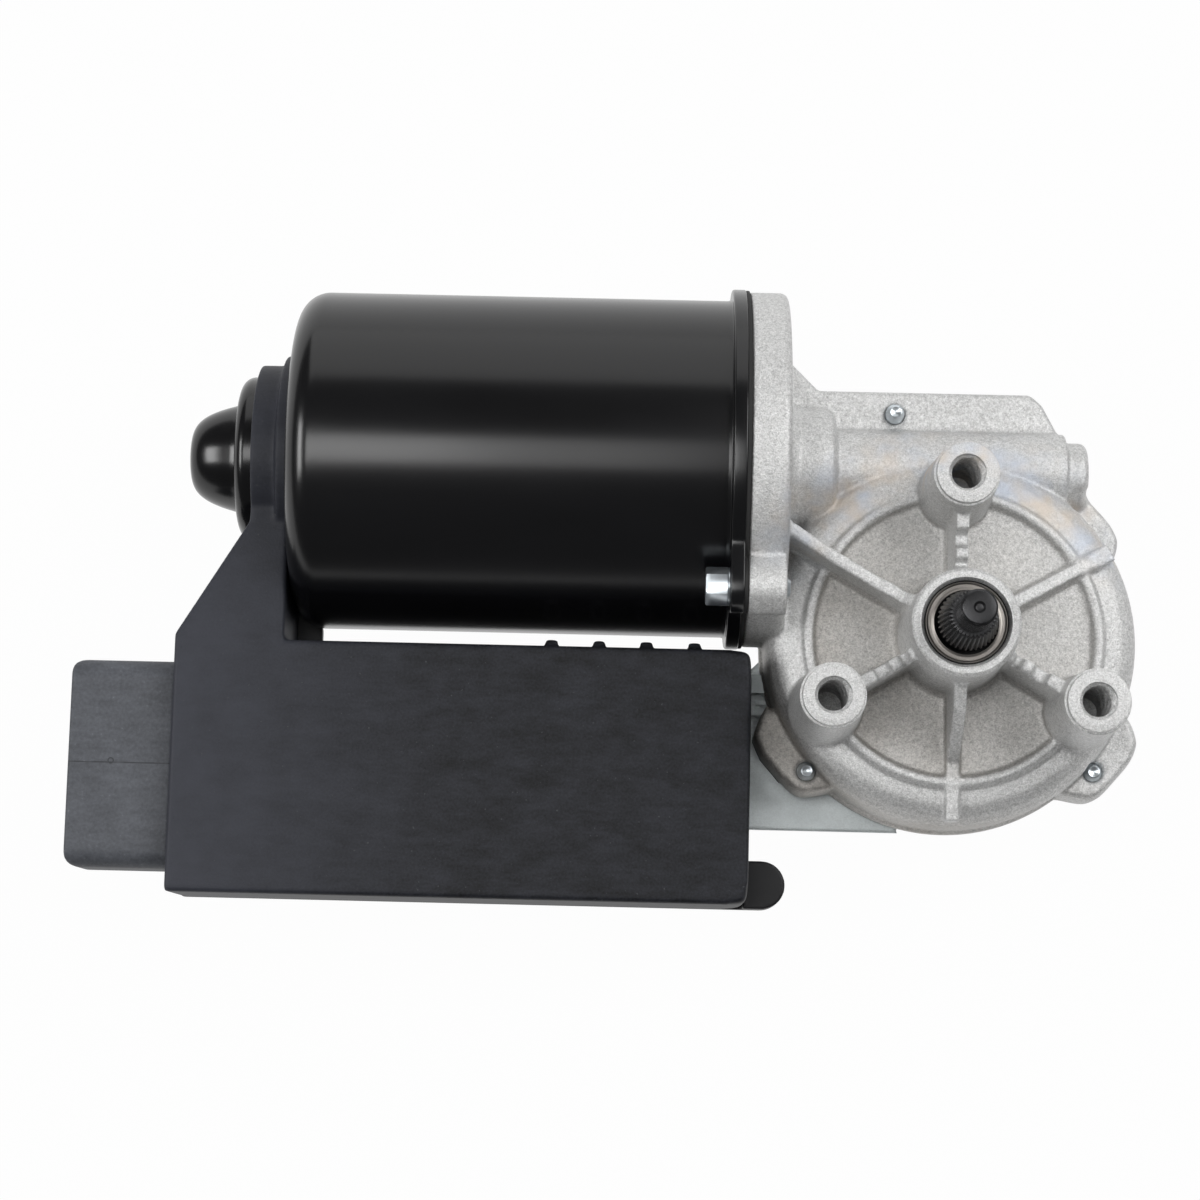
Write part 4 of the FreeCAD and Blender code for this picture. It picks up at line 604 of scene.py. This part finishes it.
finishes = {
    "die_cast_aluminium": castMaterial(),
    "sintered_bronze": metalMaterial("sinteredBronze", (0.42, 0.29, 0.16), 0.45),
    "seal_rubber": plasticMaterial("sealRubber", (0.006, 0.006, 0.006), 0.6, dust=0.1),
    "washer_steel": metalMaterial("washerSteel", (0.29, 0.27, 0.25), 0.34, marks=0.35, pitch=22000.0),
    "zinc_plated_sheet": metalMaterial("zincPlatedSheet", (0.72, 0.77, 0.775), 0.45, metallic=0.4,
                                       cloudSize=90.0, spread=0.2),
    "gasket_rubber": plasticMaterial("gasketSheet", (0.02, 0.02, 0.02), 0.75),
    "zinc_screws": metalMaterial("brightZinc", (0.66, 0.71, 0.745), 0.3, spread=0.1),
    "carrier_plastic": plasticMaterial("carrierPlastic", (0.05, 0.05, 0.055)),
    "contact_brass": metalMaterial("contactBrass", (0.66, 0.45, 0.17), 0.28),
    "hardened_steel": metalMaterial("groundSteel", (0.42, 0.42, 0.43), 0.25, marks=0.2, aboutX=1.0,
                                    centre=(motorAxis[1] * mm, motorAxis[2] * mm)),
    "black_lacquered_steel": lacquerMaterial(),
    "ferrite": metalMaterial("ferrite", (0.05, 0.05, 0.055), 0.55, metallic=0.2),
    "spring_steel": metalMaterial("springSteel", (0.22, 0.23, 0.27), 0.3),
    "card_plastic": plasticMaterial("phenolicCard", (0.14, 0.065, 0.03), 0.5),
    "carbon": plasticMaterial("brushCarbon", (0.02, 0.02, 0.021), 0.6, grainSize=4000.0),
    "choke_copper": metalMaterial("chokeCopper", (0.56, 0.21, 0.07), 0.3),
    "lead_insulation": plasticMaterial("leadInsulation", (0.28, 0.015, 0.01), 0.4),
    # the charcoal case gets a painted pale sheen towards its left end
    "charcoal_plastic": plasticMaterial("charcoalPlastic", (0.0125, 0.0133, 0.0170), 0.52, grainSize=1700.0,
                                        dust=0.9, bump=0.9, spread=0.8, shine=0.24, paintedSheen=3.4),
    "base_plastic": plasticMaterial("basePlastic", (0.007, 0.007, 0.0085), 0.5, dust=0.1),
    "board_laminate": plasticMaterial("boardLaminate", (0.01, 0.09, 0.035), 0.35),
    "relay_plastic": plasticMaterial("relayPlastic", (0.01, 0.01, 0.012), 0.4),
    "capacitor_sleeve": plasticMaterial("capacitorSleeve", (0.01, 0.012, 0.05), 0.25),
    "chip_epoxy": plasticMaterial("chipEpoxy", (0.012, 0.012, 0.012), 0.55),
    "connector_plastic": plasticMaterial("connectorPlastic", (0.078, 0.083, 0.095), 0.56, grainSize=1300.0,
                                         dust=0.9, bump=0.95, spread=0.32, line=True),
    "tinned_pins": metalMaterial("tinnedPins", (0.33, 0.355, 0.36), 0.45),
    "phosphated_steel": metalMaterial("phosphatedSteel", (0.05, 0.05, 0.052), 0.32, metallic=0.8,
                                      spread=0.25),
    "wheel_nylon": plasticMaterial("wheelNylon", (0.66, 0.62, 0.5), 0.4),
    "lamination_steel": metalMaterial("laminations", (0.16, 0.16, 0.17), 0.4),
    "enamelled_copper": metalMaterial("enamelledCopper", (0.5, 0.17, 0.05), 0.3),
    "commutator_copper": metalMaterial("commutatorCopper", (0.62, 0.27, 0.12), 0.25),
}
for row in frame["record"]["subparts"]:
    carried = nodes[row["node"]].data
    carried.materials.clear()
    carried.materials.append(finishes[row["material_slot"]])
    smoothMesh(carried, sharpAngle)
print("wiper motor: finishes ready,", len(finishes))


# Die-cast gearbox: the CAD solid with the soft radii of a casting, its bores and machined faces.

earZone = {"domeEdge": 43.7, "fade": 0.8, "leftEnd": -38, "backEnd": 33, "backSlope": 0.12, "rightFrom": 5}


def earCorners(x, y):
    # weight of the screw ears, which lie outside the dome
    zone = earZone
    outside = x > zone["leftEnd"] and y < zone["backEnd"] + max(0.0, x) * zone["backSlope"]
    return (math.hypot(x, y) - zone["domeEdge"]) / zone["fade"] if outside else 0


def rightEars(x, y):
    return earCorners(x, y) if x > earZone["rightFrom"] else 0


bossCircle = 33.5
bossTurns = [math.radians(degrees) for degrees in (90, 210, 330)]
bossSpots = [(bossCircle * math.cos(turn), bossCircle * math.sin(turn)) for turn in bossTurns]
screwSpots = {"top": (-12.9, 54.2), "right": (35.15, 27.37), "lowRight": (33.72, -29.11),
              "lowLeft": (-32.53, -30.44)}
# each bore is a row of (level, radius) points, turned about Z
gearboxLook = {"voxel": 0.45, "smoothing": 8, "factor": 0.5, "planCorners": earCorners, "planRounds": 180,
               "bossBore": [(-25.4, 0), (-25.4, 4.7), (-1.3, 4.7), (-1.3, 10.0), (1.0, 10.0), (1.0, 0)],
               "hubBore": [(-0.9, 0), (-0.9, 10.4), (1.0, 10.4), (1.0, 0)],
               "screwBore": [(-42.0, 0), (-42.0, 2.3), (-32.0, 2.3), (-32.0, 0)],
               "boredEars": ("top", "lowRight", "lowLeft")}


def gearbox():
    look = gearboxLook
    tools = [lathe(look["bossBore"], "Z", (x, y, 0), segments=48) for x, y in bossSpots]
    tools.append(lathe(look["hubBore"], "Z", shaftAxis, segments=96))
    for key in look["boredEars"]:
        tools.append(lathe(look["screwBore"], "Z", (*screwSpots[key], 0), segments=32))
    bores = meshObject("bores", *tools)
    softCopy("gear_housing", "castGearbox", "housing", "die_cast_aluminium", look, bores)


bossLook = {"bore": 3.4, "root": 4.0, "pitch": 1.25, "mouth": 4.2, "threadFrom": -0.15, "threadTo": -19,
            "rowStep": -0.16, "topRadius": 6.85, "stepRadius": 7.38, "step": -1.4, "floor": -25.0}


def machinedBosses():
    look = bossLook
    top, stepRadius, step, bore = look["topRadius"], look["stepRadius"], look["step"], look["bore"]

    def bored(a, r, turn):
        if r > look["mouth"] + 0.05 or a < look["floor"] + 1.0:
            return r
        return max(r, threadRadius(bore, look["root"], look["pitch"], a, turn))

    rows = [(-26.6, 0), (-26.6, 5.2), (-2.6, 5.2), (-2.5, stepRadius - 0.2), (-2.3, stepRadius + 0.04),
            (step - 0.15, stepRadius), (step, stepRadius - 0.2), (step, top + 0.06),
            (-0.3, top), (-0.08, top - 0.08), (0, top - 0.3), (0, look["mouth"])]
    rows += [(height, max(bore, look["mouth"] + height))
             for height in heights(look["threadFrom"], look["threadTo"], look["rowStep"])]
    rows += [(-20, bore), (look["floor"], bore), (-26.2, 0)]
    parts = [lathe(rows, "Z", (x, y, 0), segments=72, wobble=bored) for x, y in bossSpots]
    newPiece("machinedBosses", "housing", "die_cast_aluminium", parts, smoothAngle=40)


hubLook = {"land": [(-1.6, 9.6), (-1.6, 10.3), (-0.12, 10.5), (0.0, 10.35), (0.02, 10.05), (-0.55, 9.42),
                    (-1.2, 9.32), (-4.9, 9.3), (-4.9, 9.6)],
           "rim": [(-2.2, 10.2, 0), (-2.2, 12.25, 0), (-0.7, 12.12, 0.3), (0.0, 11.45, 0.5), (0.0, 10.2, 0)]}


def machinedHub():
    rim = roundedPath(hubLook["rim"], steps=5)
    parts = [lathe(hubLook["land"], "Z", shaftAxis), lathe(rim, "Z", shaftAxis)]
    newPiece("machinedHub", "housing", "die_cast_aluminium", parts, smoothAngle=40)


sealLook = {"ring": [(-4.9, 6.15, 0), (-4.9, 9.25, 0), (-0.3, 9.3, 0.03), (-0.3, 9.16, 0.03), (-2.3, 9.1, 0),
                     (-2.3, 7.4, 0.3), (-3.2, 6.15, 0.2)],
            "washer": [(-2.4, 7.15, 0.1), (-2.4, 9.1, 0), (-0.42, 9.12, 0.3), (-0.85, 8.5, 0.3),
                       (-0.85, 7.75, 0.2), (-0.6, 7.2, 0.15)]}


def shaftSeal():
    ring = lathe(roundedPath(sealLook["ring"], steps=3), "Z", shaftAxis)
    newPiece("sealRing", "housing", "seal_rubber", [ring], smoothAngle=40, replaced=("shaft_seal",))
    washer = lathe(roundedPath(sealLook["washer"], steps=4), "Z", shaftAxis)
    newPiece("sealWasher", "housing", "washer_steel", [washer], smoothAngle=50, replaced=("seal_washer",))


coverLook = {"voxel": 0.4, "smoothing": 3, "factor": 0.5, "keep": 0.4, "planCorners": rightEars,
             "planRounds": 180}
gasketLook = {**coverLook, "smoothing": 1, "planCorners": earCorners, "planRounds": 230}
wingLook = {"outline": [(-47, -18), (-28, -18), (-28, -4), (-38.5, -4), (-42.5, -7.2), (-47, -11.5)],
            "low": -55.4, "high": -53.8}


def coverSheet():
    # sheet cover under the gearbox, with the wing that shows beside the module
    softCopy("cover_plate", "coverSheet", "housing", "zinc_plated_sheet", coverLook)
    softCopy("cover_gasket", "gasketSheet", "housing", "gasket_rubber", gasketLook)
    wing = slab(wingLook["outline"], wingLook["low"], wingLook["high"])
    newPiece("coverWing", "housing", "zinc_plated_sheet", [wing], replaced=("cover_plate",))


coverSheet()
gearbox()
machinedBosses()
machinedHub()
shaftSeal()

# Output shaft: splined taper and M8 thread, on the lower end of the CAD shaft.

shaftLook = {"cutLevel": 1.1, "teeth": 36, "toothDepth": 0.5, "toothFrom": 1.3, "toothRoot": 4.6,
             "toothLand": 0.25, "toothFlank": 0.6,
             "taper": [(0.9, 0), (0.9, 5.98), (1.3, 6.0), (1.7, 6.62), (2.0, 6.7), (2.6, 6.72), (11.4, 5.46),
                       (11.85, 5.25), (12.0, 4.9), (12.0, 3.6), (12.0, 0)],
             "threadFrom": 13.0, "rowStep": 0.1, "crest": 4.0, "root": 3.5, "pitch": 1.25, "tip": 23.5}


def outputShaft():
    look = shaftLook
    tip, crest, root = look["tip"], look["crest"], look["root"]
    work = bmesh.new()
    work.from_mesh(nodes["output_shaft"].data)
    bmesh.ops.remove_doubles(work, verts=work.verts, dist=weldDistance)
    bmesh.ops.bisect_plane(work, geom=work.verts[:] + work.edges[:] + work.faces[:],
                           plane_co=(0, 0, look["cutLevel"] * mm), plane_no=(0, 0, 1), clear_outer=True)
    stem = ([tuple(v.co / mm) for v in work.verts], [tuple(v.index for v in f.verts) for f in work.faces])
    work.free()

    def splined(a, r, turn):
        if r < look["toothRoot"] or a < look["toothFrom"]:
            return r
        part = abs(2 * ((turn * look["teeth"] / (2 * math.pi)) % 1.0) - 1)
        return r - look["toothDepth"] * min(1.0, max(0.0, (part - look["toothLand"]) / look["toothFlank"]))

    def threaded(a, r, turn):
        if r < 0.1 or a < look["threadFrom"] - 0.1:
            return r
        return min(r, threadRadius(crest, root, look["pitch"], a, turn))

    rows = [(11.9, 0), (11.9, 3.4), (12.6, 3.4), (12.9, root)]
    rows += [(height, min(crest, root + tip - height))
             for height in heights(look["threadFrom"], tip - 0.02, look["rowStep"])]
    rows += [(tip - 0.02, 3.48), (tip, 3.4), (tip, 1.3), (tip - 0.5, 0.8), (tip - 0.6, 0)]
    parts = [stem, lathe(look["taper"], "Z", shaftAxis, segments=288, wobble=splined),
             lathe(rows, "Z", shaftAxis, segments=96, wobble=threaded)]
    newPiece("splinedShaft", "output", "phosphated_steel", parts, smoothAngle=28, replaced=("output_shaft",))


outputShaft()


# Screws in bright zinc: two hexagon screws through the can's ears, four up through the cover.

capScrew = {"spots": ((7.88, -8.24), (72.62, -70.76)), "hexagon": 4.35, "hexFrom": -57.5, "hexTo": -52.6,
            "shank": 2.7,
            "profile": [(-57.4, 0, 0), (-57.4, 4.05, 0.15), (-57.15, 4.36, 0.1), (-56.2, 4.36, 0),
                        (-52.6, 4.36, 0), (-52.6, 4.1, 0), (-52.35, 4.3, 0.08), (-52.05, 4.3, 0.08),
                        (-52.0, 4.1, 0), (-52.0, 2.4, 0), (-39.3, 2.4, 0), (-38.5, 1.8, 0), (-38.5, 0, 0)]}


def motorScrews():
    look = capScrew

    def hexed(a, r, turn):
        onHead = look["hexFrom"] < a < look["hexTo"] and r > look["shank"]
        return min(r, sixSided(look["hexagon"], turn)) if onHead else r

    path = roundedPath(look["profile"], steps=4)
    parts = [lathe(path, "X", (0, y, z), segments=96, wobble=hexed) for y, z in look["spots"]]
    newPiece("motorScrews", "housing", "zinc_screws", parts, smoothAngle=30, replaced=("motor_screws",))


tapScrew = {"hexagon": 3.85, "hexInside": 2.6, "hexDrop": 0.9, "flange": 4.0,
            "crest": 2.2, "root": 1.85, "pitch": 0.9, "crestShare": 0.1,
            "headTop": -55.4, "headLow": -58.4, "rowStep": 0.12, "plainTip": 1.3,
            "tips": {"top": -35.2, "right": -40.7, "lowRight": -36.9, "lowLeft": -36.9}}


def tapScrewPaths(look, tip):
    # the head and the threaded shank, each as a path and its wobble
    top, low, crest, flange = look["headTop"], look["headLow"], look["crest"], look["flange"]

    def threaded(a, r, turn):
        if a < top + 0.2 or a > tip - look["plainTip"] or r < 0.3:
            return r
        return min(r, threadRadius(crest, look["root"], look["pitch"], a, turn, look["crestShare"]))

    def hexed(a, r, turn):
        onHead = r > look["hexInside"] and a < top - look["hexDrop"]
        return min(r, sixSided(look["hexagon"], turn)) if onHead else r

    head = roundedPath([(low, 0, 0), (low, 3.0, 0.2), (low + 0.5, 3.9, 0), (top - look["hexDrop"], 3.9, 0),
                        (top - 0.7, flange, 0.1), (top, flange, 0.1), (top, 1.2, 0), (top - 0.5, 0, 0)],
                       steps=3)
    rows = [(top - 0.1, 0), (top - 0.1, crest)]
    rows += [(height, min(crest, 1.4 + max(0.0, tip - height - 1.0) * 0.7))
             for height in heights(top + 0.2, tip - 0.05, look["rowStep"])]
    rows += [(tip - 0.1, 1.45), (tip, 1.25), (tip - 0.06, 1.0), (tip - 0.3, 0.55), (tip - 0.36, 0)]
    return (head, hexed), (rows, threaded)


def coverScrews():
    parts = []
    for key, (x, y) in screwSpots.items():
        for path, wobble in tapScrewPaths(tapScrew, tapScrew["tips"][key]):
            parts.append(lathe(path, "Z", (x, y, 0), segments=48, wobble=wobble))
    newPiece("coverScrews", "housing", "zinc_screws", parts, smoothAngle=30, replaced=("cover_screws",))


motorScrews()
coverScrews()


# Motor can: deep-drawn steel with a rolled rim, two ears and a nose for the bush.

canLook = {"mouth": -48.8, "radius": 39.5, "wall": 2.2, "end": -152.5, "shoulder": 10.0,
           "rim": 42.2, "rimWidth": 3.2, "earReach": 51.2, "earAngle": 44.0, "earSpread": 14.5,
           "base": [(-150.6, 24.9, 1.0), (-150.4, 20.6, 1.2), (-152.0, 19.3, 1.0), (-166.1, 19.3, 7.4),
                    (-166.1, 13.1, 0.5), (-166.6, 12.8, 0)],
           "noseTip": -178.0, "noseLength": 11.6, "noseRadius": 12.75, "noseSteps": 30,
           "noseBlunt": 4, "noseTaper": 0.854,
           "inside": [(-176.2, 0, 0), (-176.2, 5.6, 2.0), (-164.2, 10.4, 1.0), (-164.2, 17.0, 5.0),
                      (-148.2, 17.0, 1.0), (-148.2, 29.0, 1.0), (-150.2, 30.0, 1.0)]}


def earBump(turn):
    # how far an ear reaches beyond the rim, at one angle round the motor's axis
    look = canLook
    reach = 0.0
    for side in (180 - look["earAngle"], -look["earAngle"]):
        off = abs((math.degrees(turn) - side + 180) % 360 - 180) / look["earSpread"]
        if off < 1:
            reach = max(reach, (look["earReach"] - look["rim"]) * (1 - off * off) ** 2)
    return reach


def motorCan():
    look = canLook
    mouth, r, inner, rim = look["mouth"], look["radius"], look["radius"] - look["wall"], look["rim"]
    outer = [(mouth, inner, 0), (mouth, r - 0.6, 0), (mouth - 3.8, r, 0), (look["end"], r, look["shoulder"]),
             (look["end"], 25.4, 1.0)] + look["base"]
    # the nose is blunt at its end and slopes evenly towards its foot
    shares = [k / look["noseSteps"] for k in range(look["noseSteps"] - 1, -1, -1)]
    nose = [(look["noseTip"] + look["noseLength"] * share ** look["noseBlunt"],
             look["noseRadius"] * share ** look["noseTaper"]) for share in shares]
    inside = look["inside"] + [(-150.2, inner, 8.0), (mouth, inner, 0)]
    shell = lathe(roundedPath(outer, steps=14) + nose + roundedPath(inside)[:-1], segments=192)
    back = mouth - look["rimWidth"]
    rolled = roundedPath([(mouth, r - 1.4, 0), (mouth, rim, 0.35), (back, rim, 0.6), (back, r + 0.2, 0.4),
                          (back - 1.6, r - 0.15, 0), (back - 1.6, r - 1.4, 0)], steps=5)

    def eared(_, radius, turn):
        share = min(1.0, max(0.0, (radius - r - 0.6) / (rim - r - 0.8)))
        return radius + earBump(turn) * share

    parts = [shell, lathe(rolled, segments=720, wobble=eared)]
    newPiece("drawnCan", "housing", "black_lacquered_steel", parts, smoothAngle=50, replaced=("motor_can",))


motorCan()


# Wiper control module: case, base and plug housing with moulded edges.

caseEnds = {"right": -51, "back": -10, "front": -57}


def caseCorners(x, y):
    # the two corners of the case beside the gearbox
    return 1 if x > caseEnds["right"] and (y > caseEnds["back"] or y < caseEnds["front"]) else 0


caseLook = {"voxel": 0.5, "smoothing": 6, "factor": 0.55, "keep": 0.3, "planCorners": caseCorners,
            "planRounds": 70}
baseLook = {"voxel": 0.45, "smoothing": 6, "factor": 0.6, "keep": 0.3}
softCopy("module_case", "mouldedCase", "housing", "charcoal_plastic", caseLook)
softCopy("module_base", "mouldedBase", "housing", "base_plastic", baseLook)
plugLook = {"voxel": 0.45, "smoothing": 7, "factor": 0.6, "keep": 0.35, "operation": "INTERSECT",
            "mouthRound": 2.9, "lowRound": 1.5, "topRound": 3.6, "spare": 2}


def plugHousing():
    # two prisms round its corners: in plan at the mouth, and all four in section
    look = plugLook
    low, high = [[v / mm for v in corner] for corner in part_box("connector_shroud")]
    bend, spare = look["mouthRound"], look["spare"]
    outline = [(high[0] + spare, high[1]), (high[0] + spare, low[1])]
    outline += arcPoints(low[0] + bend, low[1] + bend, bend, 270, -90)
    outline += arcPoints(low[0] + bend, high[1] - bend, bend, 180, -90)
    plan = meshObject("planCorners", slab(outline[::-1], low[2] - spare, high[2] + spare))
    below, above = low[2] + look["lowRound"], high[2] - look["topRound"]
    ends = []
    for y, z, bend, start in ((low[1] + look["lowRound"], below, look["lowRound"], 180),
                              (high[1] - look["lowRound"], below, look["lowRound"], 270),
                              (high[1] - look["topRound"], above, look["topRound"], 0),
                              (low[1] + look["topRound"], above, look["topRound"], 90)):
        ends += arcPoints(y, z, bend, start, 90)
    section = meshObject("sectionCorners", slab(ends, low[0] - spare, high[0] + spare, "YZ"))
    softCopy("connector_shroud", "plugHousing", "housing", "connector_plastic", look, plan, section)


plugHousing()


# Stage, lights and camera, in metres.

stage = {"floorGap": 0.0004, "backdrop": 3.0, "white": 0.978, "grey": 0.5, "world": 0.12,
         "lightsAim": (-0.06, 0.01, -0.03)}
# place, size across, size up, radiance, and the world axis that the width follows
lamps = {
    "stripBox": ((-0.48, -0.005, 1.25), 0.70, 0.42, 4.0, "X"),
    "stripEnd": ((0.02, -0.005, 1.25), 0.30, 0.42, 1.7, "X"),
    "keyBox": ((0.86, 0.42, 1.05), 1.0, 0.9, 3.3, "X"),
    "backBox": ((-0.05, 1.35, 0.48), 1.6, 1.1, 0.85, "X"),
    "leftBox": ((-1.25, 0.06, 0.78), 0.70, 0.36, 7.0, "Y"),
}
# the tilt is a turn about its own direction, in degrees
photoCamera = {"lens": 88.0, "sensor": 36.0, "near": 0.01, "far": 20.0, "tilt": (8.16, 0.56, 1.35),
               "place": (-0.0734, -0.0886, 0.6394)}


def paleFloor():
    # lit as a grey floor, seen as a white one
    low = cadBounds[0][2] - stage["floorGap"]
    size = stage["backdrop"]
    mesh = bpy.data.meshes.new("floor")
    mesh.from_pydata([(-size, -size, low), (size, -size, low), (size, size, low), (-size, size, low)], [],
                     [(0, 1, 2, 3)])
    material, tree, surface = startMaterial("paleFloor", (stage["grey"],) * 3, roughness=0.9)
    surface["Specular IOR Level"].default_value = 0.0
    glow = tree.nodes.new("ShaderNodeEmission")
    feed(tree, glow.inputs["Color"], (1, 1, 1, 1))
    mix = tree.nodes.new("ShaderNodeMixShader")
    path = tree.nodes.new("ShaderNodeLightPath").outputs
    seen = mathNode(tree, "MAXIMUM", path["Is Camera Ray"], path["Is Glossy Ray"])
    seen = mathNode(tree, "MAXIMUM", seen, path["Is Transmission Ray"])
    feed(tree, mix.inputs[0], product(tree, seen, stage["white"]))
    feed(tree, mix.inputs[1], tree.nodes["Principled BSDF"].outputs[0])
    feed(tree, mix.inputs[2], glow.outputs[0])
    feed(tree, tree.nodes["Material Output"].inputs["Surface"], mix.outputs[0])
    mesh.materials.append(material)
    floor = linked("floor", mesh)


def areaLight(name, location, size, sizeY, radiance, axis):
    lamp = bpy.data.lights.new(name, "AREA")
    lamp.shape = "RECTANGLE"
    lamp.size = size
    lamp.size_y = sizeY
    lamp.energy = radiance * 4 * size * sizeY
    holder = linked(name, lamp)
    holder.location = location
    back = (Vector(location) - Vector(stage["lightsAim"])).normalized()
    across = Vector((1, 0, 0)) if axis == "X" else Vector((0, 1, 0))
    across = (across - back * across.dot(back)).normalized()
    holder.rotation_euler = Matrix((across, back.cross(across), back)).transposed().to_euler()


def plainWorld(level):
    # white to the camera, dim as a light
    world = bpy.data.worlds.new("paleRoom")
    bpy.context.scene.world = world
    world.use_nodes = True
    tree = world.node_tree
    background = tree.nodes["Background"].inputs
    path = tree.nodes.new("ShaderNodeLightPath").outputs
    seen = mathNode(tree, "MAXIMUM", path["Is Camera Ray"], path["Is Transmission Ray"])
    feed(tree, background["Color"], (1, 1, 1, 1))
    feed(tree, background["Strength"], rangeNode(tree, seen, 0.0, 1.0, level, 1.0))


def photoView(look):
    view = bpy.data.cameras.new("photoView")
    view.lens = look["lens"]
    view.sensor_width = look["sensor"]
    view.clip_start = look["near"]
    view.clip_end = look["far"]
    holder = linked("photoView", view)
    tilt = Vector(look["tilt"])
    holder.rotation_mode = "QUATERNION"
    holder.rotation_quaternion = Quaternion(tilt.normalized(), math.radians(tilt.length))
    holder.location = look["place"]
    bpy.context.scene.camera = holder


paleFloor()
plainWorld(stage["world"])
for lampName, settings in lamps.items():
    areaLight(lampName, *settings)
photoView(photoCamera)
bpy.context.scene.view_settings.view_transform = "Standard"

print("wiper motor: scene ready")
